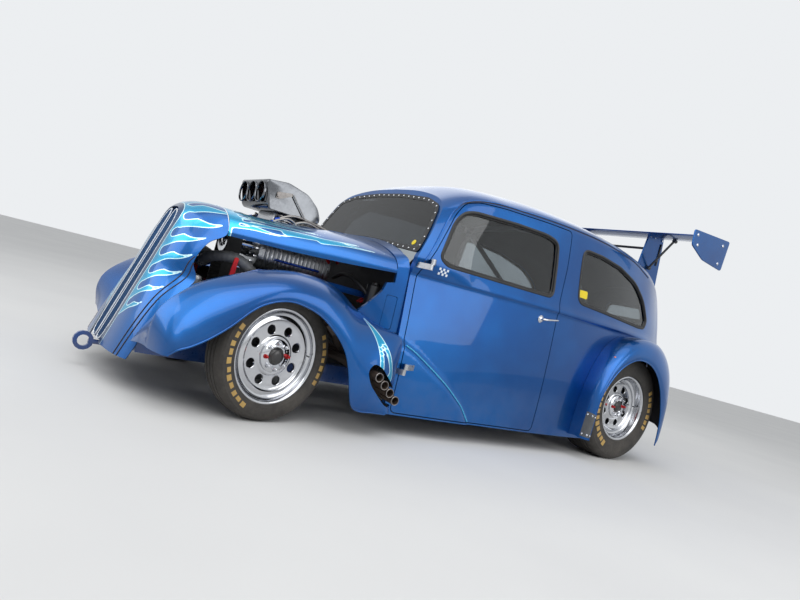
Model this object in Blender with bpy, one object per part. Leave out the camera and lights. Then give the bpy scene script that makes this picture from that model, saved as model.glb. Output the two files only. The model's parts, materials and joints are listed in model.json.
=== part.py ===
"""Small two-door saloon built for drag racing: blown V8, open engine bay, high rear wing.

Metres, Z up, nose towards -Y, left side towards +X. Lengths along the car are
measured back from the front axle, and one empty then centres the car on the origin.
"""
import math

import bmesh
import bpy
import numpy as np
from mathutils import Matrix, Vector

# Overall lengths along the car, back from the front axle
WHEELBASE = 2.533
NOSE_END = -0.66
TAIL_END = 3.26

# Wheels and tyres
WHEEL_SIDES = 20
RIM_RADIUS = 0.2075
FRONT_TYRE_RADIUS = 0.29
FRONT_TYRE_WIDTH = 0.145
FRONT_WHEEL_X = 0.592
REAR_TYRE_RADIUS = 0.35
REAR_TYRE_WIDTH = 0.27
REAR_WHEEL_X = 0.550
KINGPIN_X = 0.515
PARKED_STEER = math.radians(12.0)

# Sheet thicknesses
CABIN_WALL = 0.030
SHEET = 0.006
GLASS = 0.005

# Clearances
SEAM = 0.0003
DOOR_GAP = 0.005
GLASS_GAP = 0.0005

# Chassis
RAIL_X = 0.300
RAIL_WIDTH = 0.060
RAIL_DEPTH = 0.090
RAIL_TOP = 0.250

# Blower and scoop
BLOWER_LENGTH = 0.380
BLOWER_WIDTH = 0.230
SCOOP_WIDTH = 0.350
SCOOP_BASE = 0.935

# Rear wing over the tail
BLADE_HALF = 0.760
BLADE_FRONT = 2.700
BLADE_CHORD = 0.380
BLADE_Z = 1.555
PLATE_THICK = 0.008


for old in list(bpy.data.objects):
    bpy.data.objects.remove(old, do_unlink=True)

scene = bpy.context.scene
AXLE_Y = -(NOSE_END + TAIL_END) / 2
car = bpy.data.objects.new("car", None)
car.location = (0, AXLE_Y, 0)
scene.collection.objects.link(car)


def paint(name, rgb, metallic, roughness):
    """Principled material of one node."""
    look = bpy.data.materials.new(name)
    look.use_nodes = True
    shader = look.node_tree.nodes["Principled BSDF"]
    shader.inputs["Base Color"].default_value = (*rgb, 1)
    shader.inputs["Metallic"].default_value = metallic
    shader.inputs["Roughness"].default_value = roughness
    return look


BLUE = ((0.01, 0.18, 0.62), 0.6, 0.22)
DARK_BLUE = ((0.01, 0.05, 0.22), 0.4, 0.3)
FRAME_BLUE = ((0.03, 0.10, 0.30), 0.3, 0.4)
SILVER = ((0.75, 0.76, 0.78), 1.0, 0.22)
CAST = ((0.35, 0.36, 0.38), 0.9, 0.5)
BLACK = ((0.02, 0.02, 0.022), 0.0, 0.5)
TYRE = ((0.02, 0.02, 0.02), 0.0, 0.85)
CLEAR = ((0.35, 0.42, 0.45), 0.0, 0.08)
STEEL = ((0.30, 0.30, 0.32), 0.9, 0.4)
FLOOR_GREY = ((0.12, 0.12, 0.13), 0.6, 0.55)


def node(name, mesh, look, origin=(0, 0, 0), sharp=32):
    """Object of one sub-part with its origin on the given point of the car."""
    mesh.transform(Matrix.Translation(-Vector(origin)))
    mesh.shade_smooth()
    mesh.set_sharp_from_angle(angle=math.radians(sharp))
    mesh.materials.clear()
    mesh.materials.append(paint(name, *look))
    body = bpy.data.objects.new(name, mesh)
    body.location = origin
    body.parent = car
    scene.collection.objects.link(body)
    return body


def guide(name, mesh, body):
    """Hidden tool solid that rides with the body it shapes."""
    mesh.transform(Matrix.Translation(-Vector(body.location)))
    tool = bpy.data.objects.new(name, mesh)
    tool.parent = body
    tool.hide_render = True
    tool.display_type = "WIRE"
    scene.collection.objects.link(tool)
    return tool


def boolean(body, mesh, operation):
    """Cut, join or keep the common part of a body and a tool solid."""
    step = body.modifiers.new(operation.title(), "BOOLEAN")
    step.operation = operation
    step.solver = "EXACT"
    step.object = guide(f"{body.name}.tool", mesh, body)
    return step


def cut(body, *tools):
    for mesh in tools:
        boolean(body, mesh, "DIFFERENCE")
    return body


def keep(body, mesh):
    boolean(body, mesh, "INTERSECT")
    return body


def fuse(body, *tools):
    for mesh in tools:
        boolean(body, mesh, "UNION")
    return body


def mesh_of(verts, faces):
    """Mesh from points and faces with its faces turned outwards."""
    mesh = bpy.data.meshes.new("shape")
    mesh.from_pydata([tuple(map(float, v)) for v in verts], [], faces)
    edit = bmesh.new()
    edit.from_mesh(mesh)
    bmesh.ops.recalc_face_normals(edit, faces=edit.faces)
    edit.to_mesh(mesh)
    edit.free()
    return mesh


def box(low, high, bevel=0.0):
    """Block between two corners, with optional rounded edges."""
    edit = bmesh.new()
    bmesh.ops.create_cube(edit, size=1.0)
    low = Vector(low)
    high = Vector(high)
    for vert in edit.verts:
        vert.co = (low + high) / 2 + Vector(a * b for a, b in zip(vert.co, high - low))
    if bevel:
        bmesh.ops.bevel(edit, geom=edit.edges[:], offset=bevel, segments=2, affect="EDGES", profile=0.5)
    mesh = bpy.data.meshes.new("block")
    edit.to_mesh(mesh)
    edit.free()
    return mesh


def prism(outline, axis, start, end):
    """Flat outline pushed along X, Y or Z; its points name the other two axes in order."""
    count = len(outline)
    others = [k for k in range(3) if k != axis]
    verts = np.zeros((2 * count, 3))
    verts[:, others] = np.vstack([outline, outline])
    verts[:count, axis] = start
    verts[count:, axis] = end
    sides = [(k, (k + 1) % count, count + (k + 1) % count, count + k) for k in range(count)]
    return mesh_of(verts, [tuple(range(count)), tuple(range(2 * count - 1, count - 1, -1))] + sides)


def rounded(points, radius, steps=2):
    """Closed outline with its sharper corners replaced by arcs."""
    points = [Vector(p) for p in points]
    result = []
    for k, corner in enumerate(points):
        before = (points[k - 1] - corner)
        after = (points[(k + 1) % len(points)] - corner)
        if before.angle(after) > math.radians(145):
            result.append(tuple(corner))
            continue
        reach = min(radius, before.length * 0.45, after.length * 0.45)
        start = corner + before.normalized() * reach
        end = corner + after.normalized() * reach
        for j in range(steps + 1):
            t = j / steps
            result.append(tuple(start * (1 - t) ** 2 + corner * 2 * t * (1 - t) + end * t ** 2))
    return result


def grown(outline, amount):
    """Outline moved outwards by a clearance, inwards when negative."""
    pts = np.array(outline)
    centre = pts.mean(axis=0)
    ahead = np.roll(pts, -1, axis=0) - pts
    back = pts - np.roll(pts, 1, axis=0)
    tangent = ahead / np.linalg.norm(ahead, axis=1)[:, None] + back / np.linalg.norm(back, axis=1)[:, None]
    normal = np.stack([tangent[:, 1], -tangent[:, 0]], axis=1)
    normal /= np.linalg.norm(normal, axis=1)[:, None]
    if (normal * (pts - centre)).sum() < 0:
        normal = -normal
    return [tuple(p) for p in pts + normal * amount]


def rings(loops, closed=False):
    """Solid through a run of equal closed loops, capped at both ends unless closed."""
    loops = [list(loop) for loop in loops]
    size = len(loops[0])
    verts = [p for loop in loops for p in loop]
    faces = []
    spans = len(loops) if closed else len(loops) - 1
    for i in range(spans):
        a = i * size
        b = ((i + 1) % len(loops)) * size
        for k in range(size):
            faces.append((a + k, a + (k + 1) % size, b + (k + 1) % size, b + k))
    if not closed:
        faces.append(tuple(range(size)))
        faces.append(tuple(range(len(verts) - 1, len(verts) - size - 1, -1)))
    return mesh_of(verts, faces)


def smooth_path(points, per_span=2):
    """Points along a curve that passes through all the given points."""
    pts = np.array(points, dtype=float)
    padded = np.vstack([2 * pts[0] - pts[1], pts, 2 * pts[-1] - pts[-2]])
    result = []
    for i in range(1, len(pts)):
        a, b, c, d = padded[i - 1], padded[i], padded[i + 1], padded[i + 2]
        for j in range(per_span):
            t = j / per_span
            result.append(0.5 * (2 * b + (c - a) * t + (2 * a - 5 * b + 4 * c - d) * t ** 2
                                 + (3 * b - a - 3 * c + d) * t ** 3))
    result.append(pts[-1])
    return np.array(result)


def tube(points, radius, sides=6):
    """Round bar along a path, its rings turned with the path."""
    path = np.array(points, dtype=float)
    tangent = np.gradient(path, axis=0)
    tangent /= np.linalg.norm(tangent, axis=1)[:, None]
    side = np.cross(tangent[0], (0.31, 0.17, 0.93))
    side /= np.linalg.norm(side)
    radii = np.broadcast_to(radius, len(path))
    loops = []
    for point, along, size in zip(path, tangent, radii):
        side = side - along * np.dot(side, along)
        side /= np.linalg.norm(side)
        other = np.cross(along, side)
        loops.append([point + size * (math.cos(a) * side + math.sin(a) * other)
                      for a in np.arange(sides) * 2 * math.pi / sides])
    return rings(loops)


def turned(profile, centre, axis=0, sides=32):
    """Closed profile of (along, radius) points spun about a line through the centre."""
    others = [k for k in range(3) if k != axis]
    loops = []
    for k in range(sides):
        turn = 2 * math.pi * k / sides
        loop = np.zeros((len(profile), 3))
        loop[:, axis] = [p[0] for p in profile]
        loop[:, others[0]] = [p[1] * math.cos(turn) for p in profile]
        loop[:, others[1]] = [p[1] * math.sin(turn) for p in profile]
        loops.append(loop + np.array(centre))
    return rings(loops, closed=True)


def disc(centre, radius, low, high, axis=0, sides=24):
    """Round plug between two places on an axis."""
    others = [k for k in range(3) if k != axis]
    turn = np.arange(sides) * 2 * math.pi / sides
    outline = np.stack([centre[others[0]] + radius * np.cos(turn), centre[others[1]] + radius * np.sin(turn)], axis=1)
    return prism(outline, axis, low, high)


def mirrored(mesh):
    """Copy of a shape for the other side of the car."""
    copy = mesh.copy()
    copy.transform(Matrix.Scale(-1, 4, (1, 0, 0)))
    copy.flip_normals()
    return copy


def softened(field):
    """Each row and column of a grid averaged with its neighbours, edges kept."""
    padded = np.pad(field, ((1, 1), (1, 1), (0, 0)), mode="edge")
    return (padded[:-2, 1:-1] + padded[2:, 1:-1] + padded[1:-1, :-2] + padded[1:-1, 2:] + padded[1:-1, 1:-1]) / 5


def between(name, outer, inner, look, origin=(0, 0, 0)):
    """Closed wall between an outer and an inner grid of points."""
    nu, nv = outer.shape[:2]
    index = np.arange(nu * nv).reshape(nu, nv)
    quads = np.stack([index[:-1, :-1], index[1:, :-1], index[1:, 1:], index[:-1, 1:]], axis=-1).reshape(-1, 4)
    edge = np.concatenate([index[0], index[1:, -1], index[-1, -2::-1], index[-2:0:-1, 0]])
    after = np.roll(edge, -1)
    rim = np.stack([edge, after, after + nu * nv, edge + nu * nv], axis=-1)
    faces = np.concatenate([quads, quads[:, ::-1] + nu * nv, rim])
    verts = np.concatenate([outer.reshape(-1, 3), inner.reshape(-1, 3)])
    return node(name, mesh_of(verts, faces.tolist()), look, origin)


def sheet(name, grid, depth, look, side, origin=(0, 0, 0)):
    """Skin given by its outer surface, thickened inwards; side is a point inside the car."""
    normal = np.cross(np.gradient(grid, axis=0), np.gradient(grid, axis=1))
    if (normal * (grid - np.array(side))).sum() < 0:
        normal = -normal
    normal /= np.linalg.norm(normal, axis=2, keepdims=True) + 1e-12
    for _ in range(2):
        normal = softened(normal)
    normal /= np.linalg.norm(normal, axis=2, keepdims=True)
    return between(name, grid, grid - normal * depth, look, origin)


def flip_x(grid):
    return grid * np.array((-1.0, 1.0, 1.0))


def curve(knots, values, at):
    """Smooth curve through table rows, its slope at each row set by its neighbours."""
    knots = np.array(knots, dtype=float)
    values = np.array(values, dtype=float)
    slope = np.gradient(values, knots, axis=0)
    at = np.clip(np.atleast_1d(at), knots[0], knots[-1])
    k = np.clip(np.searchsorted(knots, at, side="right") - 1, 0, len(knots) - 2)
    span = knots[k + 1] - knots[k]
    shape = (-1,) + (1,) * (values.ndim - 1)
    t = ((at - knots[k]) / span).reshape(shape)
    span = span.reshape(shape)
    return ((1 + 2 * t) * (1 - t) ** 2 * values[k] + t * (1 - t) ** 2 * span * slope[k]
            + t ** 2 * (3 - 2 * t) * values[k + 1] + t ** 2 * (t - 1) * span * slope[k + 1])


# Cabin: half sections (x, z) at each distance behind the front axle, from the sill up:
# sill, low side, mid side, under bead, bead, waist, mid window, window top, gutter, shoulder, crown, centre
CABIN = {
    0.62: [(.625, .105), (.622, .300), (.602, .550), (.574, .795), (.582, .822), (.598, .885),
           (.585, 1.000), (.560, 1.090), (.525, 1.130), (.440, 1.155), (.240, 1.170), (0, 1.175)],
    0.80: [(.632, .105), (.628, .300), (.612, .550), (.585, .797), (.592, .824), (.602, .890),
           (.585, 1.040), (.557, 1.155), (.530, 1.200), (.440, 1.245), (.240, 1.275), (0, 1.283)],
    0.95: [(.638, .105), (.635, .300), (.620, .550), (.595, .800), (.602, .826), (.606, .895),
           (.588, 1.060), (.562, 1.215), (.537, 1.272), (.445, 1.315), (.245, 1.345), (0, 1.352)],
    1.30: [(.645, .105), (.645, .300), (.635, .550), (.615, .805), (.620, .832), (.610, .900),
           (.592, 1.075), (.570, 1.255), (.547, 1.325), (.450, 1.375), (.250, 1.413), (0, 1.428)],
    1.75: [(.650, .105), (.652, .300), (.645, .550), (.630, .810), (.637, .838), (.618, .905),
           (.602, 1.080), (.583, 1.270), (.560, 1.350), (.460, 1.400), (.260, 1.437), (0, 1.457)],
    2.20: [(.640, .110), (.642, .300), (.635, .550), (.612, .812), (.620, .840), (.600, .905),
           (.585, 1.075), (.566, 1.265), (.545, 1.345), (.440, 1.395), (.250, 1.435), (0, 1.455)],
    2.55: [(.600, .120), (.605, .310), (.600, .550), (.575, .810), (.582, .840), (.562, .900),
           (.545, 1.060), (.525, 1.235), (.505, 1.315), (.410, 1.372), (.235, 1.415), (0, 1.437)],
    2.80: [(.535, .140), (.550, .320), (.550, .550), (.535, .805), (.540, .832), (.523, .890),
           (.505, 1.035), (.480, 1.190), (.455, 1.270), (.375, 1.340), (.220, 1.392), (0, 1.413)],
    3.00: [(.455, .160), (.475, .330), (.485, .550), (.475, .800), (.478, .825), (.465, .880),
           (.440, 1.005), (.410, 1.135), (.385, 1.210), (.310, 1.290), (.185, 1.350), (0, 1.372)],
    3.13: [(.385, .180), (.410, .340), (.425, .550), (.420, .790), (.421, .815), (.410, .860),
           (.385, .965), (.350, 1.080), (.322, 1.145), (.260, 1.225), (.155, 1.275), (0, 1.298)],
    3.20: [(.330, .200), (.355, .350), (.370, .550), (.365, .780), (.366, .800), (.355, .840),
           (.330, .930), (.295, 1.025), (.270, 1.080), (.215, 1.150), (.125, 1.198), (0, 1.213)],
}
SPLIT_ROW = 8.5
SIDE_START = 0.650
TAIL_SPLIT = 2.960

# Pressed line that runs on from the front wing and sweeps down across the door
SWAGE = [(.386, .540), (.503, .514), (.600, .493), (.782, .418), (.990, .301), (1.131, .200), (1.216, .103)]
SWAGE_STEP = 0.018


def cabin_skin(ys, rows):
    """Outer surface of the left half on a grid of stations and section rows."""
    sections = curve(list(CABIN), np.array(list(CABIN.values())), ys)
    points = np.array([curve(range(12), section, rows) for section in sections])
    grid = np.zeros((len(ys), len(rows), 3))
    grid[:, :, 0] = points[:, :, 0]
    grid[:, :, 1] = np.array(ys)[:, None]
    grid[:, :, 2] = points[:, :, 1]
    line = np.interp(ys, *zip(*SWAGE), right=0.0)[:, None]
    below = np.clip((line - grid[:, :, 2]) / 0.04 + 0.5, 0, 1)
    grid[:, :, 0] += SWAGE_STEP * below * below * (3 - 2 * below)
    return grid


def screen_line(z):
    """Distance back of the sloping windscreen plane at a height."""
    return 0.665 + 0.41 * (z - 0.93)


SIDE_ROWS = [0, .6, 1.2, 1.8, 2.4, 3, 4, 5, 6, 7, 8, SPLIT_ROW]
HULL_ROWS = SIDE_ROWS + [9.1, 9.7, 10.3, 11]
HULL_STATIONS = np.linspace(SIDE_START, TAIL_SPLIT, 12)
SPLIT = len(SIDE_ROWS) - 1


def wall_offset(grid, depth):
    """Half-section grid moved inwards, square to the skin within each cross-section."""
    along = np.gradient(grid, axis=1)
    normal = np.stack([along[:, :, 2], np.zeros(grid.shape[:2]), -along[:, :, 0]], axis=2)
    normal /= np.linalg.norm(normal, axis=2, keepdims=True)
    for _ in range(2):
        padded = np.concatenate([normal[:, :1], normal, normal[:, -1:]], axis=1)
        normal = (padded[:, :-2] + padded[:, 1:-1] + padded[:, 2:]) / 3
    normal[:, -1, 0] = 0.0
    normal /= np.linalg.norm(normal, axis=2, keepdims=True)
    return grid - normal * depth


hull = cabin_skin(HULL_STATIONS, np.array(HULL_ROWS))
hull_inner = wall_offset(hull, CABIN_WALL)
hull[-1, :, 1] -= SEAM
hull_inner[-1, :, 1] -= SEAM
DOOR_OUTLINE = rounded([(.690, .118), (.690, .815), (.757, .947), (.800, 1.050), (.850, 1.165), (.905, 1.240),
                        (.999, 1.272), (1.186, 1.293), (1.517, 1.312), (1.728, 1.318), (1.738, 1.10),
                        (1.722, .840), (1.722, .118)], 0.03)
DOOR_WINDOW = rounded([(.790, .925), (.812, 1.010), (.846, 1.125), (.900, 1.190), (.970, 1.213), (1.278, 1.238),
                       (1.532, 1.246), (1.628, 1.225), (1.645, 1.100), (1.662, .905), (.845, .893)], 0.03)
QUARTER_WINDOW = rounded([(1.895, .925), (1.872, 1.100), (1.862, 1.250), (2.060, 1.252), (2.280, 1.235),
                          (2.520, 1.180), (2.670, 1.090), (2.765, .960), (2.740, .905), (2.640, .900)], 0.04)

DOOR_HINGE = (0.664, 0.700, 0.1)
HINGE_HEIGHTS = (.337, .870)
HINGE_TALL = .028


def hinge_leaf(outline, turn, z):
    """Half a door hinge: the leaf and its end on the hinge line, seen from above."""
    return prism([(x * turn, y) for x, y in outline], 2, z, z + HINGE_TALL)


def skin_x(y, z):
    """Distance out to the cabin's skin at a station and height."""
    column = cabin_skin(np.array([y]), np.linspace(0, 7, 29))[0]
    return float(np.interp(z, column[:, 2], column[:, 0]))


def wall_x(y, z):
    """Distance out to the inner face of the body side."""
    across = [np.interp(z, column[:, 2], column[:, 0]) for column in hull_inner[:, :6]]
    return float(np.interp(y, HULL_STATIONS, across))


# Body sides with door opening, quarter window and wheel arch
for name, turn in (("left", 1), ("right", -1)):
    outer = hull[:, :SPLIT + 1].copy()
    inner = hull_inner[:, :SPLIT + 1].copy()
    outer[:, -1, 2] -= .004
    inner[:, -1, 2] -= .004
    flip = np.array((turn, 1, 1))
    side = between(f"body_side_{name}", outer * flip, inner * flip, BLUE)
    ahead = prism([(.3, .88), (screen_line(.88), .88), (screen_line(1.5), 1.5), (.3, 1.5)], 0, -.8, .8)
    cut(side, prism(grown(DOOR_OUTLINE, DOOR_GAP), 0, .3 * turn, .9 * turn),
        prism(QUARTER_WINDOW, 0, .3 * turn, .9 * turn),
        disc((0, WHEELBASE, REAR_TYRE_RADIUS), REAR_TYRE_RADIUS + .055, .3 * turn, .9 * turn, sides=22),
        ahead)
    for z in HINGE_HEIGHTS:
        root = skin_x(.665, z) - .012
        fuse(side, hinge_leaf([(root, .660), (DOOR_HINGE[0] + .009, .688), (DOOR_HINGE[0] + .009, .704),
                               (DOOR_HINGE[0] - .003, .709), (DOOR_HINGE[0] - .009, .702),
                               (DOOR_HINGE[0] - .011, .690), (root, .680)], turn, z - HINGE_TALL - .00015))

    pane = cabin_skin(np.linspace(1.84, 2.80, 8), np.array([4.8, 5.5, 6.2, 6.8, 7.4]))
    pane[:, :, 0] -= 0.010
    glass = between(f"quarter_glass_{name}", pane * flip, (pane - np.array((GLASS, 0, 0))) * flip, CLEAR)
    keep(glass, prism(grown(QUARTER_WINDOW, -GLASS_GAP), 0, .3 * turn, .9 * turn))

# Doors hung at their front edge, each with its handle and its pane
for name, turn in (("left", 1), ("right", -1)):
    flip = np.array((turn, 1, 1))
    skin = cabin_skin(np.linspace(.680, 1.750, 9), np.array(SIDE_ROWS[:-2] + [8.1]))
    hinge = (DOOR_HINGE[0] * turn, DOOR_HINGE[1], DOOR_HINGE[2])
    door = between(f"door_{name}", skin * flip, wall_offset(skin, CABIN_WALL) * flip, BLUE, hinge)
    keep(door, prism(DOOR_OUTLINE, 0, .3 * turn, .9 * turn))
    pane = cabin_skin(np.linspace(.75, 1.70, 7), np.array([4.7, 5.5, 6.3, 7.3]))
    pane[:, :, 0] -= 0.010
    glass = between(f"door_glass_{name}", pane * flip, (pane - np.array((GLASS, 0, 0))) * flip, CLEAR, hinge)
    keep(glass, prism(grown(DOOR_WINDOW, -GLASS_GAP), 0, .3 * turn, .9 * turn))
    seat = cabin_skin(np.array([1.59]), np.array([2.9]))[0, 0, 0]
    lever = tube([(seat - .014, 1.590, .765), (seat + .028, 1.590, .767), (seat + .034, 1.615, .770),
                  (seat + .032, 1.700, .782)], .007)
    if turn < 0:
        lever = mirrored(lever)
    for z in HINGE_HEIGHTS:
        root = skin_x(.760, z) - .015
        fuse(door, hinge_leaf([(root, .742), (DOOR_HINGE[0] - .009, .702), (DOOR_HINGE[0] - .006, .693),
                               (DOOR_HINGE[0] + .004, .691), (DOOR_HINGE[0] + .009, .698),
                               (DOOR_HINGE[0] + .008, .712), (root + .016, .771), (root, .774)], turn, z + .00015))
    fuse(door, lever)
    cut(door, prism(DOOR_WINDOW, 0, .3 * turn, .9 * turn))

# Roof between the gutters
whole = np.concatenate([hull[:, SPLIT:], flip_x(hull[:, -2:SPLIT - 1:-1])], axis=1)
whole_inner = np.concatenate([hull_inner[:, SPLIT:], flip_x(hull_inner[:, -2:SPLIT - 1:-1])], axis=1)
roof = between("roof", whole, whole_inner, BLUE)
cut(roof, prism([(.3, .88), (screen_line(.88), .88), (screen_line(1.5), 1.5), (.3, 1.5)], 0, -.8, .8))


def closed_section(y, depth=0.0):
    """Whole loop of the cabin section at a station, moved inwards by a depth."""
    half = wall_offset(cabin_skin(np.array([y]), np.array(HULL_ROWS)), depth)[0]
    mirror = flip_x(half[-2::-1])
    low = np.array((0, 0, max(depth, 0.0)))
    floor = np.linspace(mirror[-1], half[0], 5)[1:-1] + low
    return np.concatenate([half + low * (np.arange(len(half)) == 0)[:, None],
                           mirror + low * (np.arange(len(mirror)) == len(mirror) - 1)[:, None], floor])


# Tail shell, a deep cup behind the cabin with boot opening and rear window
TAIL_CENTRE = 0.66
CAP = [(.90, .026), (.60, .046), (.12, .050)]


def capped(stations, depth):
    """Loops through the tail, the last ones drawn in to close it."""
    loops = [closed_section(y, depth) for y in stations]
    last = loops[-1]
    for scale, back in CAP:
        loop = last.copy()
        loop[:, 0] *= scale
        loop[:, 2] = TAIL_CENTRE + (last[:, 2] - TAIL_CENTRE) * scale
        loop[:, 1] = 3.20 + back - depth
        loops.append(loop)
    return loops


TAIL_STATIONS = [TAIL_SPLIT, 3.08, 3.16, 3.20]
tail_outer = capped(TAIL_STATIONS, 0.0)
tail_inner = capped(TAIL_STATIONS[:3] + [3.195], CABIN_WALL)
tail_inner[3][:, 1] = 3.20 - .010


def cup(name, outer, inner, look, origin=(0, 0, 0)):
    """Wall between two runs of closed loops, open at the first and filled at the last."""
    size = len(outer[0])
    count = len(outer) * size
    faces = []
    for base in (0, count):
        for i in range(len(outer) - 1):
            for k in range(size):
                a = base + i * size + k
                b = base + i * size + (k + 1) % size
                quad = (a, b, b + size, a + size)
                faces.append(quad if base == 0 else quad[::-1])
    faces.append(tuple(range(count - size, count)))
    faces.append(tuple(range(2 * count - 1, 2 * count - size - 1, -1)))
    faces += [(k, count + k, count + (k + 1) % size, (k + 1) % size) for k in range(size)]
    return node(name, mesh_of(np.concatenate(outer + inner), faces), look, origin)


BOOT_OUTLINE = rounded([(-.270, .350), (-.270, .800), (.270, .800), (.270, .350)], 0.06)
REAR_WINDOW = rounded([(-.185, .985), (-.150, 1.100), (.150, 1.100), (.185, .985)], 0.04)
tail = cup("tail_shell", tail_outer, tail_inner, BLUE)
cut(tail, prism(grown(BOOT_OUTLINE, DOOR_GAP), 1, 3.10, 3.4), prism(REAR_WINDOW, 1, 3.06, 3.4))
BOOT_HINGE = (0, TAIL_END - .008, .340)
lid = cup("boot_lid", tail_outer[2:], tail_inner[2:], BLUE, BOOT_HINGE)
keep(lid, prism(BOOT_OUTLINE, 1, 3.10, 3.4))
knuckle = [(BOOT_HINGE[1] + .008 * math.cos(a), BOOT_HINGE[2] + .008 * math.sin(a))
           for a in np.arange(8) * math.pi / 4]
for turn in (1, -1):
    fuse(lid, prism(knuckle, 0, .100 * turn, .130 * turn),
         prism([(3.246, .338), (3.256, .338), (3.258, .378), (3.225, .378), (3.225, .358), (3.246, .352)], 0,
               .104 * turn, .130 * turn))
    fuse(tail, prism(knuckle, 0, .1303 * turn, .160 * turn),
         prism([(3.215, .318), (3.250, .318), (3.256, .342), (3.215, .342)], 0, .1303 * turn, .156 * turn))
pane_outer = [loop - np.array((0, .012, 0)) for loop in tail_outer[2:]]
pane_inner = [loop - np.array((0, .012 + GLASS, 0)) for loop in tail_outer[2:]]
rear_glass = cup("rear_glass", pane_outer, pane_inner, CLEAR)
keep(rear_glass, prism(grown(REAR_WINDOW, -GLASS_GAP), 1, 3.06, 3.4))

# Scuttle between bonnet and windscreen, with the slanted front edges of its side panels
SCUTTLE = {
    0.42: [(.497, .50), (.507, .60), (.512, .70), (.505, .780), (.485, .825), (.420, .870), (.300, .905),
           (.150, .930), (0, .937)],
    0.58: [(.560, .50), (.560, .60), (.556, .70), (.548, .790), (.530, .835), (.470, .880), (.330, .920),
           (.165, .945), (0, .952)],
    0.70: [(.604, .50), (.596, .60), (.588, .70), (.578, .800), (.568, .850), (.520, .905), (.360, .945),
           (.180, .965), (0, .972)],
}
stations = np.linspace(.42, .69, 4)
tables = curve(list(SCUTTLE), np.array(list(SCUTTLE.values())), stations)
half = np.zeros((4, 9, 3))
for k, table in enumerate(tables):
    row = curve(range(9), table, np.linspace(0, 8, 9))
    half[k, :, 0] = row[:, 0]
    half[k, :, 1] = stations[k]
    half[k, :, 2] = row[:, 1]
whole = np.concatenate([half, flip_x(half[:, -2::-1])], axis=1)
scuttle = sheet("scuttle", whole, .018, BLUE, (0, .55, .5))
BONNET_END = 0.5880
slant = [(.30, .40), (.425, .40), (.443, .559), (.494, .625), (.536, .686), (.548, .730), (BONNET_END, .7400),
         (BONNET_END, 1.1), (.30, 1.1)]
screen_gap = .0095
behind = [(SIDE_START - SEAM, .3), (SIDE_START - SEAM, .875), (screen_line(.895) - screen_gap, .895),
          (screen_line(1.2) - screen_gap, 1.2), (.9, 1.2), (.9, .3)]
cut(scuttle, prism(slant, 0, -.8, .8), prism(behind, 0, -.8, .8))
for turn in (1, -1):
    cut(scuttle, prism(rounded([(.560, .672), (.612, .672), (.612, .508), (.560, .508)], .008), 0, .4 * turn, .8 * turn))

# Flat windscreen screwed to the pillars
slope = Vector((0, .41, 1)).normalized()
SCREEN_SIDE = [(.583, .0), (.574, .090), (.550, .190), (.526, .268), (.500, .305), (.380, .347), (.120, .370)]
screen_half = rounded([(-x, up) for x, up in SCREEN_SIDE] + SCREEN_SIDE[::-1]
                      + [(.30, .022), (0, .034), (-.30, .022)], .012, 1)
front_face = []
back_face = []
for x, up in screen_half:
    foot = Vector((x, screen_line(.912) - SEAM, .912)) + slope * up
    back_face.append(foot)
    front_face.append(foot + Vector((0, -slope.z, slope.y)) * (screen_gap - .0025))
node("windscreen", rings([back_face, front_face]), CLEAR)


def half_loft(table, count, rows):
    """Skin across the car through half sections (x, z) given by their distance back."""
    stations = np.linspace(min(table), max(table), count)
    sections = curve(list(table), np.array(list(table.values())), stations)
    index = np.linspace(0, sections.shape[1] - 1, rows)
    half = np.zeros((count, rows, 3))
    for k, section in enumerate(sections):
        half[k, :, (0, 2)] = curve(range(sections.shape[1]), section, index).T
        half[k, :, 1] = stations[k]
    return np.concatenate([half, flip_x(half[:, -2::-1])], axis=1)


def grille_line(z):
    """Distance back of the leaning grille plane at a height."""
    return -0.575 + 0.2935 * (z - 0.14)


# Nose shell: grille edge (x, z), then rear edge (x, y, z), from the bottom up to the centre
NOSE = [((.112, .140), (.385, -.512, .135)), ((.112, .270), (.385, -.455, .280)),
        ((.112, .400), (.372, -.390, .410)), ((.112, .520), (.348, -.305, .515)),
        ((.112, .610), (.338, -.327, .595)), ((.112, .690), (.333, -.285, .690)),
        ((.110, .755), (.330, -.213, .748)), ((.100, .795), (.300, -.213, .817)),
        ((.075, .815), (.225, -.213, .859)), ((.040, .824), (.115, -.213, .877)), ((0, .826), (0, -.213, .882))]
rows = np.linspace(0, 10, 12)
edge = np.array([(f[0], grille_line(f[1]), f[1]) for f, r in NOSE])
rear = np.array([r for f, r in NOSE])
edge = curve(range(11), edge, rows)
rear = curve(range(11), rear, rows)
top = np.clip((rows - 5) / 3, 0, 1)[:, None]
top = top * top * (3 - 2 * top)
lead = (1 - top) * np.array((.80, .10, .50)) + top * np.array((.50, .28, 1.05))
middle = edge + lead * (rear - edge)
run = np.linspace(0, 1, 6)[:, None, None]
half = (1 - run) ** 2 * edge + 2 * run * (1 - run) * middle + run ** 2 * rear
whole = np.concatenate([half, flip_x(half[:, -2::-1])], axis=1)
nose = sheet("nose_shell", whole, SHEET, BLUE, (0, .2, .5))
tab_start = RAIL_X + RAIL_WIDTH / 2 + SEAM
for turn in (1, -1):
    fuse(nose, prism([(tab_start * turn, -.505), (.366 * turn, -.505), (.378 * turn, -.485), (.378 * turn, -.470),
                      (.340 * turn, -.450), (tab_start * turn, -.450)], 2, .196, .208))

# Grille: backing plate with upright slats in two bands each side of a centre strip
GRILLE_HALF = .122
lean = Vector((0, .2935, 1)).normalized()
ahead = Vector((0, -lean.z, lean.y))
foot = Vector((0, grille_line(.142), .142))
height = (.822 - .142) / lean.z


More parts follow.
